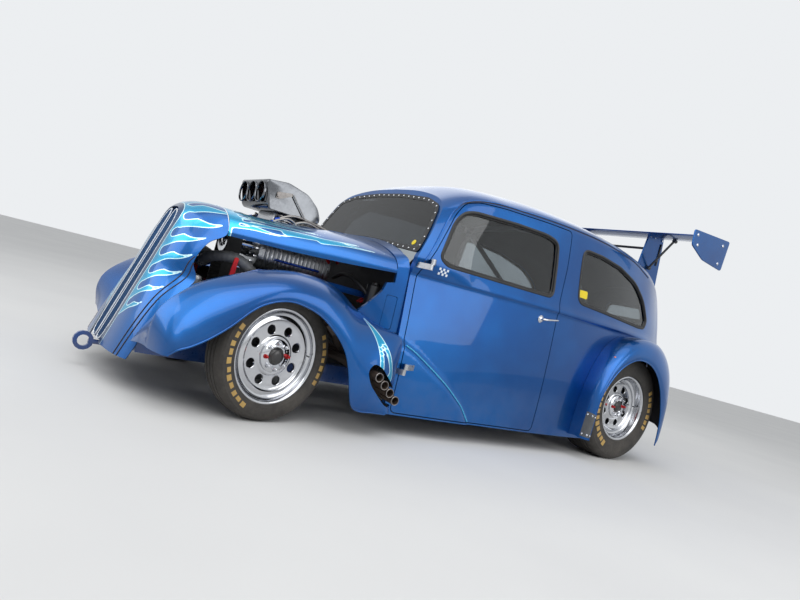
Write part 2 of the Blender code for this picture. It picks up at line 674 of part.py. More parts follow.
def grille_bar(x0, x1, low, high, back, front):
    """Bar lying in the leaning grille plane."""
    loops = []
    for up in (low, high):
        base = foot + lean * up
        loops.append([base + Vector((x, 0, 0)) + ahead * out
                      for x, out in ((x0, back), (x1, back), (x1, front), (x0, front))])
    return rings(loops)


backing = rings([[foot + lean * up + Vector((x, 0, 0)) + ahead * out
                  for x, up in rounded([(-GRILLE_HALF, .004), (GRILLE_HALF, .004), (.116, height * .90),
                                        (.060, height * .97), (-.060, height * .97), (-.116, height * .90)], .03)]
                 for out in (-.022, -.013)])
grille = node("grille", backing, DARK_BLUE)
bars = [grille_bar(-.020, .020, .004, height * .96, -.0135, .004)]
for turn in (1, -1):
    for k in range(6):
        x = (.030 + k * .0145) * turn
        bars.append(grille_bar(x - .004, x + .004, .006, height * (.955 - .008 * k), -.0135, -.002))
fuse(grille, *bars)

# Bonnet with the opening the blower stands in
BONNET = {
    -.2077: [(.330, .746), (.330, .768), (.300, .818), (.225, .859), (.115, .877), (0, .882)],
    0.00: [(.395, .750), (.394, .777), (.355, .829), (.260, .867), (.130, .884), (0, .890)],
    0.30: [(.472, .765), (.470, .797), (.425, .851), (.310, .894), (.155, .916), (0, .923)],
    .5850: [(.551, .788), (.548, .808), (.500, .862), (.360, .913), (.180, .943), (0, .952)],
}
BONNET_HOLE = rounded([(-.205, -.110), (-.205, .455), (.205, .455), (.205, -.110)], .03)
bonnet = sheet("bonnet", half_loft(BONNET, 6, 7), SHEET, BLUE, (0, .2, .5))
cut(bonnet, prism(BONNET_HOLE, 2, .7, 1.1))


def wing_grid(table, across):
    """Skin that runs from the lip over the crown to the root, through the rows of a table."""
    table = np.array(table)
    fine = curve(range(len(table)), table, np.linspace(0, len(table) - 1, int(1.15 * len(table))))
    lip, crown, root = fine[:, 0], fine[:, 1], fine[:, 2]
    corner = np.stack([lip[:, 0] + .012, .45 * lip[:, 1] + .55 * crown[:, 1],
                       .25 * lip[:, 2] + .75 * crown[:, 2]], axis=1)
    ridge = (crown + (root - crown) * .30) + np.array((0, 0, .012))
    grid = []
    for t in np.linspace(0, 1, across):
        grid.append((1 - t) ** 2 * lip + 2 * t * (1 - t) * corner + t * t * crown)
    for t in np.linspace(0, 1, across // 2 + 1)[1:]:
        grid.append((1 - t) ** 2 * crown + 2 * t * (1 - t) * ridge + t * t * root)
    return np.stack(grid, axis=1)


# Front wing: lip, crown and root at each step round the arch and back to the door
FRONT_WING = [
    ((.715, -.452, .232), (.580, -.495, .228), (.388, -.512, .215)),
    ((.735, -.425, .262), (.600, -.508, .320), (.390, -.470, .300)),
    ((.740, -.375, .288), (.602, -.490, .395), (.382, -.425, .370)),
    ((.741, -.315, .330), (.600, -.435, .462), (.368, -.370, .435)),
    ((.742, -.250, .388), (.598, -.350, .528), (.356, -.297, .505)),
    ((.742, -.175, .470), (.592, -.225, .592), (.365, -.200, .545)),
    ((.742, -.115, .512), (.588, -.110, .636), (.375, -.100, .570)),
    ((.742, -.045, .536), (.588, -.010, .660), (.385, .000, .580)),
    ((.742, .025, .537), (.590, .085, .667), (.395, .080, .580)),
    ((.742, .125, .511), (.594, .180, .660), (.410, .180, .570)),
    ((.742, .215, .455), (.600, .275, .630), (.430, .280, .550)),
    ((.742, .290, .383), (.615, .360, .575), (.470, .370, .530)),
    ((.742, .335, .300), (.640, .440, .535), (.511, .440, .520)),
    ((.742, .365, .215), (.652, .540, .508), (.552, .545, .500)),
    ((.742, .395, .145), (.664, .638, .475), (.590, .638, .465)),
    ((.740, .440, .122), (.680, .638, .330), (.602, .638, .330)),
    ((.735, .520, .122), (.690, .638, .220), (.612, .638, .220)),
    ((.728, .600, .120), (.700, .638, .130), (.622, .638, .122)),
]
REAR_WING = [
    ((.765, 2.125, .130), (.715, 2.085, .130), (.640, 2.070, .130)),
    ((.770, 2.125, .260), (.722, 2.088, .270), (.635, 2.074, .270)),
    ((.772, 2.135, .400), (.725, 2.105, .420), (.630, 2.092, .400)),
    ((.774, 2.185, .510), (.725, 2.155, .560), (.622, 2.128, .520)),
    ((.775, 2.250, .595), (.725, 2.225, .665), (.615, 2.180, .620)),
    ((.776, 2.335, .655), (.725, 2.315, .745), (.605, 2.262, .720)),
    ((.776, 2.430, .684), (.722, 2.430, .800), (.585, 2.400, .800)),
    ((.775, 2.550, .672), (.715, 2.570, .822), (.560, 2.560, .815)),
    ((.772, 2.655, .618), (.705, 2.710, .805), (.540, 2.700, .810)),
    ((.768, 2.740, .530), (.695, 2.830, .745), (.505, 2.830, .780)),
    ((.764, 2.800, .425), (.685, 2.915, .655), (.475, 2.930, .690)),
    ((.760, 2.840, .320), (.675, 2.960, .530), (.455, 2.985, .560)),
    ((.755, 2.860, .220), (.665, 2.975, .400), (.440, 3.000, .420)),
    ((.750, 2.870, .150), (.660, 2.970, .280), (.430, 3.000, .290)),
]


def cabin_core(start, gap):
    """Solid that just contains the cabin from a station to the tail, used to trim what is bolted on."""
    stations = [y for y in HULL_STATIONS if y > start] + TAIL_STATIONS[1:]
    return rings([closed_section(y, -gap) for y in stations])


for name, turn in (("left", 1), ("right", -1)):
    side = np.array((turn, 1, 1))
    front = sheet(f"front_wing_{name}", wing_grid(FRONT_WING, 5) * side, SHEET, BLUE, (.45 * turn, .05, .2))
    tab = sorted((.610 * turn, .634 * turn))
    fuse(front, box((tab[0], .630, .280), (tab[1], SIDE_START - SEAM, .380)))
    rear = sheet(f"rear_wing_{name}", wing_grid(REAR_WING, 5) * side, SHEET, BLUE, (.45 * turn, WHEELBASE, .2))
    cut(rear, cabin_core(1.8, .0012))


def wheel(name, centre, rim_width, tyre_width, radius, turn, steer, axis_point):
    """Drilled disc rim and its tyre, turned as one body."""
    half = rim_width / 2
    face = half * .45
    profile = [(-half, .188), (-half, RIM_RADIUS), (-half + .009, .1960), (half - .009, .1960),
               (half, RIM_RADIUS), (half, .188), (face + .010, .182), (face + .006, .088),
               (face + .022, .076), (face + .022, .030), (face - .006, .030), (face - .012, .176)]
    profile = [(x * turn, r) for x, r in profile]
    spin = Matrix.Rotation(steer, 4, "Z")
    offset = Vector(centre) - Vector(axis_point)
    place = Matrix.Translation(Vector(axis_point)) @ spin @ Matrix.Translation(offset)
    hub = place @ Vector((0, 0, 0))
    rim = node(f"rim_{name}", turned(profile, (0, 0, 0), 0, WHEEL_SIDES), SILVER, (0, 0, 0))
    rim.matrix_local = Matrix.Translation(hub) @ spin
    for k in range(8):
        a = 2 * math.pi * (k + .5) / 8
        hole = disc((0, .118 * math.cos(a), .118 * math.sin(a)), .021, (face - .03) * turn, (face + .03) * turn, 0, 6)
        step = rim.modifiers.new("Hole", "BOOLEAN")
        step.operation = "DIFFERENCE"
        step.solver = "EXACT"
        tool = bpy.data.objects.new(f"{rim.name}.tool", hole)
        tool.parent = rim
        tool.hide_render = True
        tool.display_type = "WIRE"
        scene.collection.objects.link(tool)
        step.object = tool
    tw = tyre_width / 2
    bead = half - .0115
    section = [(-bead, .1965), (-bead, .2080), (-tw, radius * .83),
               (-tw * .94, radius * .95), (-tw * .70, radius), (tw * .70, radius), (tw * .94, radius * .95),
               (tw, radius * .83), (bead, .2080), (bead, .1965)]
    tyre = node(f"tyre_{name}", turned(section, (0, 0, 0), 0, WHEEL_SIDES), TYRE)
    tyre.matrix_local = Matrix.Translation(hub) @ spin
    return hub


for name, turn in (("left", 1), ("right", -1)):
    pin = (KINGPIN_X * turn, 0, 0)
    wheel(f"front_{name}", (FRONT_WHEEL_X * turn, 0, FRONT_TYRE_RADIUS), .100, FRONT_TYRE_WIDTH,
          FRONT_TYRE_RADIUS, turn, PARKED_STEER, pin)
    wheel(f"rear_{name}", (REAR_WHEEL_X * turn, WHEELBASE, REAR_TYRE_RADIUS), .240, REAR_TYRE_WIDTH,
          REAR_TYRE_RADIUS, turn, 0.0, (REAR_WHEEL_X * turn, WHEELBASE, 0))

# Chassis: two rails with crossmembers and the towing eye
FIREWALL_Y = .630
RAIL_START = -.470
RAIL_END = 2.940
frame = node("chassis_frame", box((RAIL_X - RAIL_WIDTH / 2, RAIL_START, RAIL_TOP - RAIL_DEPTH),
                                  (RAIL_X + RAIL_WIDTH / 2, RAIL_END, RAIL_TOP)), FRAME_BLUE)
cross = [box((-RAIL_X - RAIL_WIDTH / 2, RAIL_START, RAIL_TOP - RAIL_DEPTH),
             (-RAIL_X + RAIL_WIDTH / 2, RAIL_END, RAIL_TOP))]
for y in (-.440, 1.130, 1.892, 2.850):
    cross.append(box((-RAIL_X, y - .022, RAIL_TOP - .080), (RAIL_X, y + .022, RAIL_TOP - .028)))
cross.append(tube([(0, -.440, .185), (0, -.500, .122), (0, -.595, .122)], .011))
eye = turned([(-.009, .026), (.009, .026), (.009, .044), (-.009, .044)], (0, -.616, .122), 0, 14)
cross.append(eye)
for turn in (1, -1):
    cross.append(tube(smooth_path([(.285 * turn, -.40, .235), (.285 * turn, -.30, .42), (.300 * turn, -.10, .575),
                                   (.335 * turn, .10, .640), (.345 * turn, FIREWALL_Y - .0006, .640)]), .018))
fuse(frame, *cross)

# Floor with its tunnel and the wheel tubs, and the firewall ahead of it
HUMP = [(-.595, .2503), (-.200, .2503), (-.165, .455), (.165, .455), (.200, .2503), (.595, .2503),
        (.595, .262), (.210, .262), (.175, .467), (-.175, .467), (-.210, .262), (-.595, .262)]
LOW_HUMP = [(-.595, .2503), (-.095, .2503), (-.075, .395), (.075, .395), (.095, .2503), (.595, .2503),
            (.595, .262), (.105, .262), (.085, .407), (-.085, .407), (-.105, .262), (-.595, .262)]
BULKHEAD_Y = 2.040
floor = node("floor_pan", prism(HUMP, 1, .662, 1.200), FLOOR_GREY)
raised = [prism(LOW_HUMP, 1, 1.190, 2.050), box((-.385, BULKHEAD_Y, .2503), (.385, BULKHEAD_Y + .012, .557)),
          prism([(-.175, .262), (-.175, .467), (.175, .467), (.175, .262)], 1, 1.188, 1.200)]
tub_start = BULKHEAD_Y + .012 + SEAM
tub = node("boot_floor", box((-.385, tub_start, .545), (.385, 2.945, .557)), FLOOR_GREY)
for turn in (1, -1):
    wall = prism([(tub_start, .546), (2.945, .546), (2.945, .62), (2.86, .79), (2.18, .79), (tub_start, .60)], 0,
                 .375 * turn, .387 * turn)
    shelf = prism([(.378 * turn, .780), (.520 * turn, .780), (.520 * turn, .790), (.378 * turn, .790)], 1,
                  WHEELBASE - .333, WHEELBASE + .067)
    fuse(tub, wall, shelf)
    reach = [(wall_x(y, .256) - SEAM, y) for y in (1.760, 1.905, 2.035)]
    sill = prism([(.585 * turn, 1.760)] + [(x * turn, y) for x, y in reach] + [(.585 * turn, 2.035)], 2, .2503, .262)
    raised.append(sill)
fuse(floor, *raised)
cut(floor, disc((0, 0, .325), .060, 1.1, 2.10, 1, 12))
firewall = node("firewall", prism(rounded([(-.535, .270), (-.530, .755), (-.470, .830), (-.28, .885), (.28, .885),
                                           (.470, .830), (.530, .755), (.535, .270)], .04), 1,
                                  FIREWALL_Y, FIREWALL_Y + .012), FLOOR_GREY)
cut(firewall, prism([(-.205, .20), (-.172, .475), (.172, .475), (.205, .20)], 1, .6, .7))

# Roll cage
HOOP = [(.535, .263), (.535, .80), (.520, 1.02), (.485, 1.22), (.40, 1.315), (0, 1.345)]
hoop = [(x, 1.83, z) for x, z in HOOP] + [(-x, 1.83, z) for x, z in HOOP[-2::-1]]
cage = node("roll_cage", tube(hoop, .021), STEEL)
bars = []
for turn in (1, -1):
    bars.append(tube([(.530 * turn, .735, .263), (.528 * turn, .735, .50), (.518 * turn, .745, .86),
                                  (.492 * turn, .850, 1.10), (.470 * turn, 1.00, 1.245),
                                  (.455 * turn, 1.40, 1.285), (.440 * turn, 1.83, 1.290)], .021))
    bars.append(tube([(.529 * turn, .735, .42), (.534 * turn, 1.83, .62)], .019))
    bars.append(tube([(.440 * turn, 1.83, 1.270), (.290 * turn, 2.78, .582)], .019))
bars.append(tube([(-.532, 1.83, .72), (.532, 1.83, .72)], .019))
bars.append(tube([(-.500, .790, 1.00), (-.330, .800, .84), (.330, .800, .84), (.500, .790, 1.00)], .017))
fuse(cage, *bars)

# Driver's seat, dashboard and steering
SEAT_X = -.305
FLOOR_TOP = .262
SEAT_FOOT = FLOOR_TOP + SEAM
PAN = [(1.240, SEAT_FOOT), (1.680, SEAT_FOOT), (1.780, .380), (1.800, .940), (1.725, .960), (1.640, .470),
       (1.240, .405)]
WINGED = [(1.240, SEAT_FOOT), (1.680, SEAT_FOOT), (1.780, .380), (1.795, .880), (1.660, .860), (1.520, .560),
          (1.240, .470)]
seat = node("seat", prism(rounded(PAN, .03), 0, SEAT_X - .150, SEAT_X + .150), BLACK)
fuse(seat, prism(rounded(WINGED, .03), 0, SEAT_X - .185, SEAT_X - .140),
     prism(rounded(WINGED, .03), 0, SEAT_X + .140, SEAT_X + .185))
dash = node("dashboard", prism(rounded([(.690, .700), (.690, .815), (.765, .815), (.775, .720)], .02), 0, -.490, .490),
            BLACK)
column_start = Vector((SEAT_X, .76, .745))
column_end = Vector((SEAT_X, 1.000, .800))
fuse(dash, tube([column_start, column_end], .017),
     *[box((x - .015, FIREWALL_Y + .012 + SEAM, .745), (x + .015, .700, .765)) for x in (-.300, .300)])
reach = (column_end - column_start).normalized()
WHEEL_STANDOFF = .035
WHEEL_CENTRE = column_end + reach * WHEEL_STANDOFF
spin = reach.to_track_quat("X", "Z").to_matrix().to_4x4()
ring = turned([(x, .150 + r) for x, r in
               [(.012 * math.cos(a), .012 * math.sin(a)) for a in np.arange(6) * math.pi / 3]], (0, 0, 0), 0, 16)
steering = node("steering_wheel", ring, BLACK)
steering.matrix_local = Matrix.Translation(WHEEL_CENTRE) @ spin
for a in (90, 210, 330):
    a = math.radians(a)
    spoke = tube([(0, 0, 0), (0, .150 * math.cos(a), .150 * math.sin(a))], .008)
    step = steering.modifiers.new("Spoke", "BOOLEAN")
    step.operation = "UNION"
    step.solver = "EXACT"
    tool = bpy.data.objects.new("steering_wheel.tool", spoke)
    tool.parent = steering
    tool.hide_render = True
    tool.display_type = "WIRE"
    scene.collection.objects.link(tool)
    step.object = tool
boss = bpy.data.objects.new("steering_wheel.tool", turned([(SEAM - WHEEL_STANDOFF, .004), (.012, .004),
                                                         (.012, .034), (SEAM - WHEEL_STANDOFF, .022)],
                                                        (0, 0, 0), 0, 12))
boss.parent = steering
boss.hide_render = True
boss.display_type = "WIRE"
scene.collection.objects.link(boss)
step = steering.modifiers.new("Boss", "BOOLEAN")
step.operation = "UNION"
step.solver = "EXACT"
step.object = boss

# Engine: block, heads with rocker covers, manifold, blower, belt drive and scoop
ENGINE_START = .030
ENGINE_END = .530
CRANK_Z = .300
DECK = .228
HEAD_HEIGHT = .103
VALLEY_Z = .465
tilt = Vector((1, 1)).normalized()
along = Vector((1, -1)).normalized()
low_deck = tilt * DECK + along * .108
high_deck = tilt * DECK - along * .075
flank = [(.090, .215), (.135, .300), (low_deck.x, CRANK_Z + low_deck.y), (high_deck.x, CRANK_Z + high_deck.y),
         (.060, VALLEY_Z)]
block = node("engine_block", prism(flank + [(-x, z) for x, z in flank[::-1]], 1, ENGINE_START, ENGINE_END), CAST)
fuse(block, prism([(-.15, .225), (.15, .225), (.16, .34), (.10, .47), (-.10, .47), (-.16, .34)], 1,
                  ENGINE_START - .045, ENGINE_START + .01))

# Feet that stand the engine on the inner faces of the rails
RAIL_INNER = RAIL_X - RAIL_WIDTH / 2
for turn in (1, -1):
    fuse(block, prism([(.080 * turn, .222), ((RAIL_INNER - SEAM) * turn, .206), ((RAIL_INNER - SEAM) * turn, .238),
                       (.100 * turn, .246)], 1, .220, .270))


def bank(low, high, half_width, start, end, turn, shift=0.0):
    """Block lying on one cylinder bank between two heights above the crankshaft."""
    outline = []
    for up, out in ((low, -half_width), (low, half_width), (high, half_width), (high, -half_width)):
        point = tilt * up + along * (out + shift)
        outline.append((point.x * turn, CRANK_Z + point.y))
    return prism(outline, 1, start, end)


for name, turn in (("left", 1), ("right", -1)):
    head = node(f"cylinder_head_{name}", bank(DECK + SEAM, DECK + HEAD_HEIGHT, .088, .045, .515, turn), CAST)
    cover = bank(DECK + HEAD_HEIGHT - .001, DECK + HEAD_HEIGHT + .068, .062, .050, .510, turn, .010)
    edit = bmesh.new()
    edit.from_mesh(cover)
    bmesh.ops.bevel(edit, geom=edit.edges[:], offset=.012, segments=2, affect="EDGES", profile=.5)
    edit.to_mesh(cover)
    edit.free()
    fuse(head, cover)
manifold = node("intake_manifold", prism([(-.050, VALLEY_Z + SEAM), (.050, VALLEY_Z + SEAM), (.125, .560),
                                          (.125, .636), (-.125, .636), (-.125, .560)], 1, .060, .500), SILVER)
BLOWER_Z = .6363
BLOWER_START = .060
CASE = [(-.085, 0), (.085, 0), (BLOWER_WIDTH / 2, .045), (BLOWER_WIDTH / 2, .125), (.085, .190), (-.085, .190),
        (-BLOWER_WIDTH / 2, .125), (-BLOWER_WIDTH / 2, .045)]
RIBS = 7


def case_loop(y, wide, tall):
    """Outline of the blower case at one distance back, its foot kept level."""
    return [(x * wide, BLOWER_START + y, BLOWER_Z + z * tall) for x, z in CASE]


loops = [case_loop(-.022, 1.05, 1.03), case_loop(.004, 1.05, 1.03), case_loop(.0045, 1, 1)]
pitch = (BLOWER_LENGTH - .040) / RIBS
for k in range(RIBS):
    y = .020 + k * pitch + pitch / 2
    loops += [case_loop(y - .012, 1, 1), case_loop(y - .006, 1.07, 1.05), case_loop(y + .006, 1.07, 1.05),
              case_loop(y + .012, 1, 1)]
loops += [case_loop(BLOWER_LENGTH - .0045, 1, 1), case_loop(BLOWER_LENGTH - .004, 1.05, 1.03),
          case_loop(BLOWER_LENGTH + .016, 1.05, 1.03)]
blower = node("supercharger", rings(loops), SILVER)
fuse(blower, box((-.075, BLOWER_START + .03, BLOWER_Z + .18), (.075, BLOWER_START + .35, .858)))
BELT_Y = -.075
belt_loop = []
for z, radius, turns in ((CRANK_Z, .082, range(180, 361, 20)), (.742, .070, range(0, 181, 20))):
    for a in turns:
        a = math.radians(a)
        belt_loop.append((radius * math.cos(a), z + radius * math.sin(a)))
belt = node("blower_drive", prism(grown(belt_loop, .009), 1, BELT_Y - .038, BELT_Y + .038), BLACK)
cut(belt, prism(grown(belt_loop, -.001), 1, BELT_Y - .05, BELT_Y + .05))
fuse(belt, disc((0, 0, CRANK_Z), .084, BELT_Y - .030, BELT_Y + .030, 1, 20),
     disc((0, 0, .742), .072, BELT_Y - .030, BELT_Y + .030, 1, 20),
     disc((0, 0, CRANK_Z), .030, BELT_Y, -.0155, 1, 16), disc((0, 0, .742), .030, BELT_Y, .0375, 1, 16))
SCOOP_SIDE = rounded([(-.034, 1.073), (.083, 1.088), (.200, 1.062), (.270, 1.010), (.296, .960), (.296, SCOOP_BASE),
                      (.010, SCOOP_BASE), (-.004, .950)], .02, 3)
scoop = node("injector_scoop", prism(SCOOP_SIDE, 0, -SCOOP_WIDTH / 2, SCOOP_WIDTH / 2), SILVER)
fuse(scoop, box((-.110, .075, .8585), (.110, .300, SCOOP_BASE + .004)))
throats = []
for x in (-.113, 0, .113):
    throats.append(disc((x, 0, 1.010), .049, -.1, .150, 1, 16))
cut(scoop, *throats)
plates = [disc((x, 0, 1.010), .0482, .036, .041, 1, 16) for x in (0, .113)]
butterflies = node("throttle_plates", disc((-.113, 0, 1.010), .0482, .036, .041, 1, 16), DARK_BLUE)
fuse(butterflies, *plates, tube([(-.165, .0385, 1.010), (.165, .0385, 1.010)], .006))
cut(scoop, tube([(-.2, .0385, 1.010), (.2, .0385, 1.010)], .0075, 8))

# Exhaust headers, four pipes a side that leave through the wing behind the front wheel
PIPE_TIPS = [(.492, .296), (.532, .264), (.572, .232), (.612, .200)]
for name, turn in (("left", 1), ("right", -1)):
    outline = []
    for up, out in ((.252, .0883), (.318, .0883), (.318, .0983), (.252, .0983)):
        point = tilt * up + along * out
        outline.append((point.x * turn, CRANK_Z + point.y))
    header = node(f"headers_{name}", prism(outline, 1, .060, .500), STEEL)
    pipes = []
    for y, (tip_y, tip_z) in zip((.105, .220, .335, .450), PIPE_TIPS):
        route = smooth_path([(.2715 * turn, y, .4345), (.330 * turn, y + .020, .395),
                             (.455 * turn, (y + 4 * .440) / 5, .330),
                             (.590 * turn, tip_y - .01, tip_z + .018), (.680 * turn, tip_y, tip_z),
                             (.756 * turn, tip_y + .006, tip_z - .004)], 1)
        pipes.append(tube(route, .0215))
    fuse(header, *pipes)
    cut(header, *[tube([(.700 * turn, y + .001, z), (.78 * turn, y + .008, z - .005)], .0180, 8)
                  for y, z in PIPE_TIPS])
    ports = [(.440, .310), (.470, .350), (.520, .335), (.640, .245), (.660, .190), (.630, .150), (.580, .160),
             (.470, .250)]
    cut(bpy.data.objects[f"front_wing_{name}"], prism(rounded(ports, .03), 0, .60 * turn, .90 * turn))

# Gearbox, propshaft and rear axle
PINION_Z = .350
node("gearbox", turned([(.5303, .010), (.5303, .150), (.545, .165), (.560, .165), (.625, .158), (.740, .105),
                        (.760, .100), (1.020, .092), (1.040, .070), (1.140, .055), (1.140, .010)],
                       (0, 0, CRANK_Z), 1, 16), CAST)
PINION_Y = WHEELBASE - .173
shaft = node("propshaft", tube([(0, 1.146, .3005), (0, 1.18, .301), (0, PINION_Y - .010, .3485)], .030, 12), SILVER)
fuse(shaft, disc((0, 1.15, .301), .045, 1.1403, 1.160, 1, 16),
     disc((0, 0, .349), .045, PINION_Y - .015, PINION_Y - SEAM, 1, 16))
axle = node("rear_axle", turned([(-.6300, .004), (-.6300, .0293), (-.4550, .0293), (-.4550, .1400), (-.4420, .1400),
                                 (-.4420, .0450), (-.1500, .0450), (-.0900, .1100), (-.0600, .1350),
                                 (.0600, .1350), (.0900, .1100), (.1500, .0450), (.4420, .0450), (.4420, .1400),
                                 (.4550, .1400), (.4550, .0293), (.6300, .0293), (.6300, .004)],
                                (0, WHEELBASE, PINION_Z), 0, 12), CAST)
fuse(axle, turned([(SEAM, .010), (SEAM, .055), (.040, .060), (.120, .090), (.120, .010)],
                  (0, PINION_Y, PINION_Z), 1, 12))

# Ladder bars that hold the rear axle
BAR_EYE = WHEELBASE - .588
for turn in (1, -1):
    fuse(axle, prism(rounded([(WHEELBASE - .073, .236), (WHEELBASE - .073, .340), (WHEELBASE + .067, .340),
                              (WHEELBASE + .067, .236)], .01), 0, .205 * turn, .235 * turn),
         prism([(WHEELBASE - .063, .305), (WHEELBASE - .063, .240), (BAR_EYE - .005, .200), (BAR_EYE - .005, .234)], 0,
               .212 * turn, .228 * turn),
         disc((0, BAR_EYE, .217), .030, .208 * turn, .232 * turn, 0, 10))

# Front suspension arms and struts, and the uprights that steer
ARM_Z = .205
for name, turn in (("left", 1), ("right", -1)):
    arm = node(f"front_suspension_{name}",
               tube([(.342 * turn, -.115, ARM_Z), (.495 * turn, -.010, ARM_Z)], .013), STEEL)
    fuse(arm, tube([(.342 * turn, .115, ARM_Z), (.495 * turn, .010, ARM_Z)], .013),
         disc((KINGPIN_X * turn, 0, ARM_Z), .026, .190, .2195, 2, 12),
         box(((.418 if turn > 0 else -.512), -.020, .193), ((.512 if turn > 0 else -.418), .020, .217)))
    fuse(arm, tube([(.440 * turn, 0, .210), (.325 * turn, 0, .560)], .011),
         tube([(.4285 * turn, 0, .245), (.348 * turn, 0, .490)], .026, 10),
         disc((KINGPIN_X * turn, 0, .370), .020, .3612, .380, 2, 12),
         tube([(.510 * turn, .0, .371), (.375 * turn, 0, .371)], .010))
    outer_face = RAIL_X + RAIL_WIDTH / 2 + SEAM
    fuse(arm, *[box((min(outer_face * turn, (outer_face + .024) * turn), y - .016, ARM_Z - .016),
                    (max(outer_face * turn, (outer_face + .024) * turn), y + .016, ARM_Z + .016))
                for y in (-.115, .115)])
    pin = Vector((KINGPIN_X * turn, 0, FRONT_TYRE_RADIUS))
    upright = turned([(.2200, .003), (.2200, .018), (.3605, .018), (.3605, .003)], (KINGPIN_X, 0, 0), 2, 10)
    spindle = turned([(.0, .003), (.0, .034), (.030, .034), (.042, .130), (.054, .130), (.054, .0293),
                      (.1330, .0293), (.1330, .003)], (KINGPIN_X + .001, 0, FRONT_TYRE_RADIUS), 0, 10)
    steer_arm = box((KINGPIN_X - .014, -.118, .2852), (KINGPIN_X + .014, .004, .2990))
    if turn < 0:
        upright, spindle, steer_arm = mirrored(upright), mirrored(spindle), mirrored(steer_arm)
    knuckle = node(f"knuckle_{name}", upright, CAST, pin)
    fuse(knuckle, spindle, steer_arm)
    knuckle.rotation_euler = (0, 0, PARKED_STEER)
RACK_Y = -.165
ROD_Z = .2705
housing = node("steering_rack", turned([(-.190, .0085), (-.190, .024), (.190, .024), (.190, .0085)],
                                       (0, RACK_Y, ROD_Z), 0, 12), CAST)
for turn in (1, -1):
    fuse(housing, prism([(.172 * turn, RACK_Y - .020), (RAIL_X * turn, RACK_Y - .020), (RAIL_X * turn, RACK_Y + .020),
                         (.172 * turn, RACK_Y + .020)], 2, RAIL_TOP + SEAM, RAIL_TOP + .006))
RACK_SHIFT = math.sin(PARKED_STEER) * .105
rods = []
for turn in (1, -1):
    rods.append(tube([(.28 * turn + RACK_SHIFT, RACK_Y, ROD_Z), (KINGPIN_X * turn + RACK_SHIFT, -.103, ROD_Z)], .008))
    rods.append(disc((KINGPIN_X * turn + RACK_SHIFT, -.103, 0), .014, ROD_Z - .009, ROD_Z + .009, 2, 14))
bar = node("tie_rods", tube([(-.285 + RACK_SHIFT, RACK_Y, ROD_Z), (.285 + RACK_SHIFT, RACK_Y, ROD_Z)], .008), STEEL)
fuse(bar, *rods)

# Fuel tank in the nose with its filler
tank = node("fuel_tank", box((-.200, -.330, .2503), (.200, -.222, .540), .02), SILVER)
fuse(tank, disc((0, -.276, 0), .035, .530, .570, 2, 20),
     box((-RAIL_X, -.300, RAIL_TOP + SEAM), (RAIL_X, -.252, RAIL_TOP + .007)))

# High wing: blade with end plates, on two tapered uprights from the roof
PLATE_X = BLADE_HALF
blade_loop = []
for t in np.linspace(0, 1, 6):
    blade_loop.append((BLADE_FRONT + BLADE_CHORD * t, BLADE_Z + .030 + .040 * t * t + .013 * math.sin(math.pi * t ** .6)))
for t in np.linspace(1, 0, 6)[1:-1]:
    blade_loop.append((BLADE_FRONT + BLADE_CHORD * t, BLADE_Z + .030 + .040 * t * t - .010 * math.sin(math.pi * t ** .6)
                       - .003))
blade = node("rear_spoiler", prism(blade_loop, 0, -BLADE_HALF, BLADE_HALF), BLUE)
END_PLATE = rounded([(2.670, BLADE_Z + .063), (3.125, BLADE_Z + .095), (3.095, BLADE_Z - .123),
                     (2.840, BLADE_Z - .108), (2.676, BLADE_Z - .043)], .02)
fuse(blade, *[prism(END_PLATE, 0, (PLATE_X - .001) * turn, (PLATE_X + PLATE_THICK) * turn) for turn in (1, -1)])
UPRIGHT = [(2.745, 1.300), (3.030, 1.150), (2.985, BLADE_Z + .047), (2.800, BLADE_Z + .035)]
for turn in (1, -1):
    fuse(blade, prism(rounded(UPRIGHT, .01), 0, .340 * turn, .352 * turn),
         tube([(.346 * turn, 2.875, 1.34), (.515 * turn, 2.875, BLADE_Z + .055)], .008, 8))
cut(blade, cabin_core(2.5, .0030))
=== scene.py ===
import json
import math

import bmesh
import bpy
import numpy as np
from mathutils import Matrix, Vector


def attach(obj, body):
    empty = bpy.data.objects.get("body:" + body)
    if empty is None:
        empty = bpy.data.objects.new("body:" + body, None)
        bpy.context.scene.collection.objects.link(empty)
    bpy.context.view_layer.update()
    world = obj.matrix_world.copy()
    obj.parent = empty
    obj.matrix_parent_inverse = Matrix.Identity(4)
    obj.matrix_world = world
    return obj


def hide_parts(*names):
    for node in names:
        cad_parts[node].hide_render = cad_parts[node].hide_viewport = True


# Small blown drag saloon. Lengths along the car are measured back from the front axle, in metres.

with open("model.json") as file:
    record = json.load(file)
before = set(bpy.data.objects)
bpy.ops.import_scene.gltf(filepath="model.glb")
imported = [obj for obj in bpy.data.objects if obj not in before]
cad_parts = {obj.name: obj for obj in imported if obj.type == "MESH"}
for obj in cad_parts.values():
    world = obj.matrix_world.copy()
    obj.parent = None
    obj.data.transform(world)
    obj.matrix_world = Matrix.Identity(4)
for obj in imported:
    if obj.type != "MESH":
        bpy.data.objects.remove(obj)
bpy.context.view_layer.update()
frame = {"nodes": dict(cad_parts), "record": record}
joints = {joint["name"]: joint for joint in frame["record"]["behaviour"]["joints"]}
axleY = joints["steer_left"]["pos_m"][1]
shift = np.array((0.0, axleY, 0.0))
wheelBase = joints["wheel_rear_left_spin"]["pos_m"][1] - axleY
spinAxis = joints["wheel_front_left_spin"]["axis"]
parkedSteer = math.atan2(spinAxis[1], spinAxis[0])
bothSides = (("left", 1), ("right", -1))
mirrorX = np.array((-1.0, 1, 1))
print("frame loaded")


# Shader node groups that several finishes share

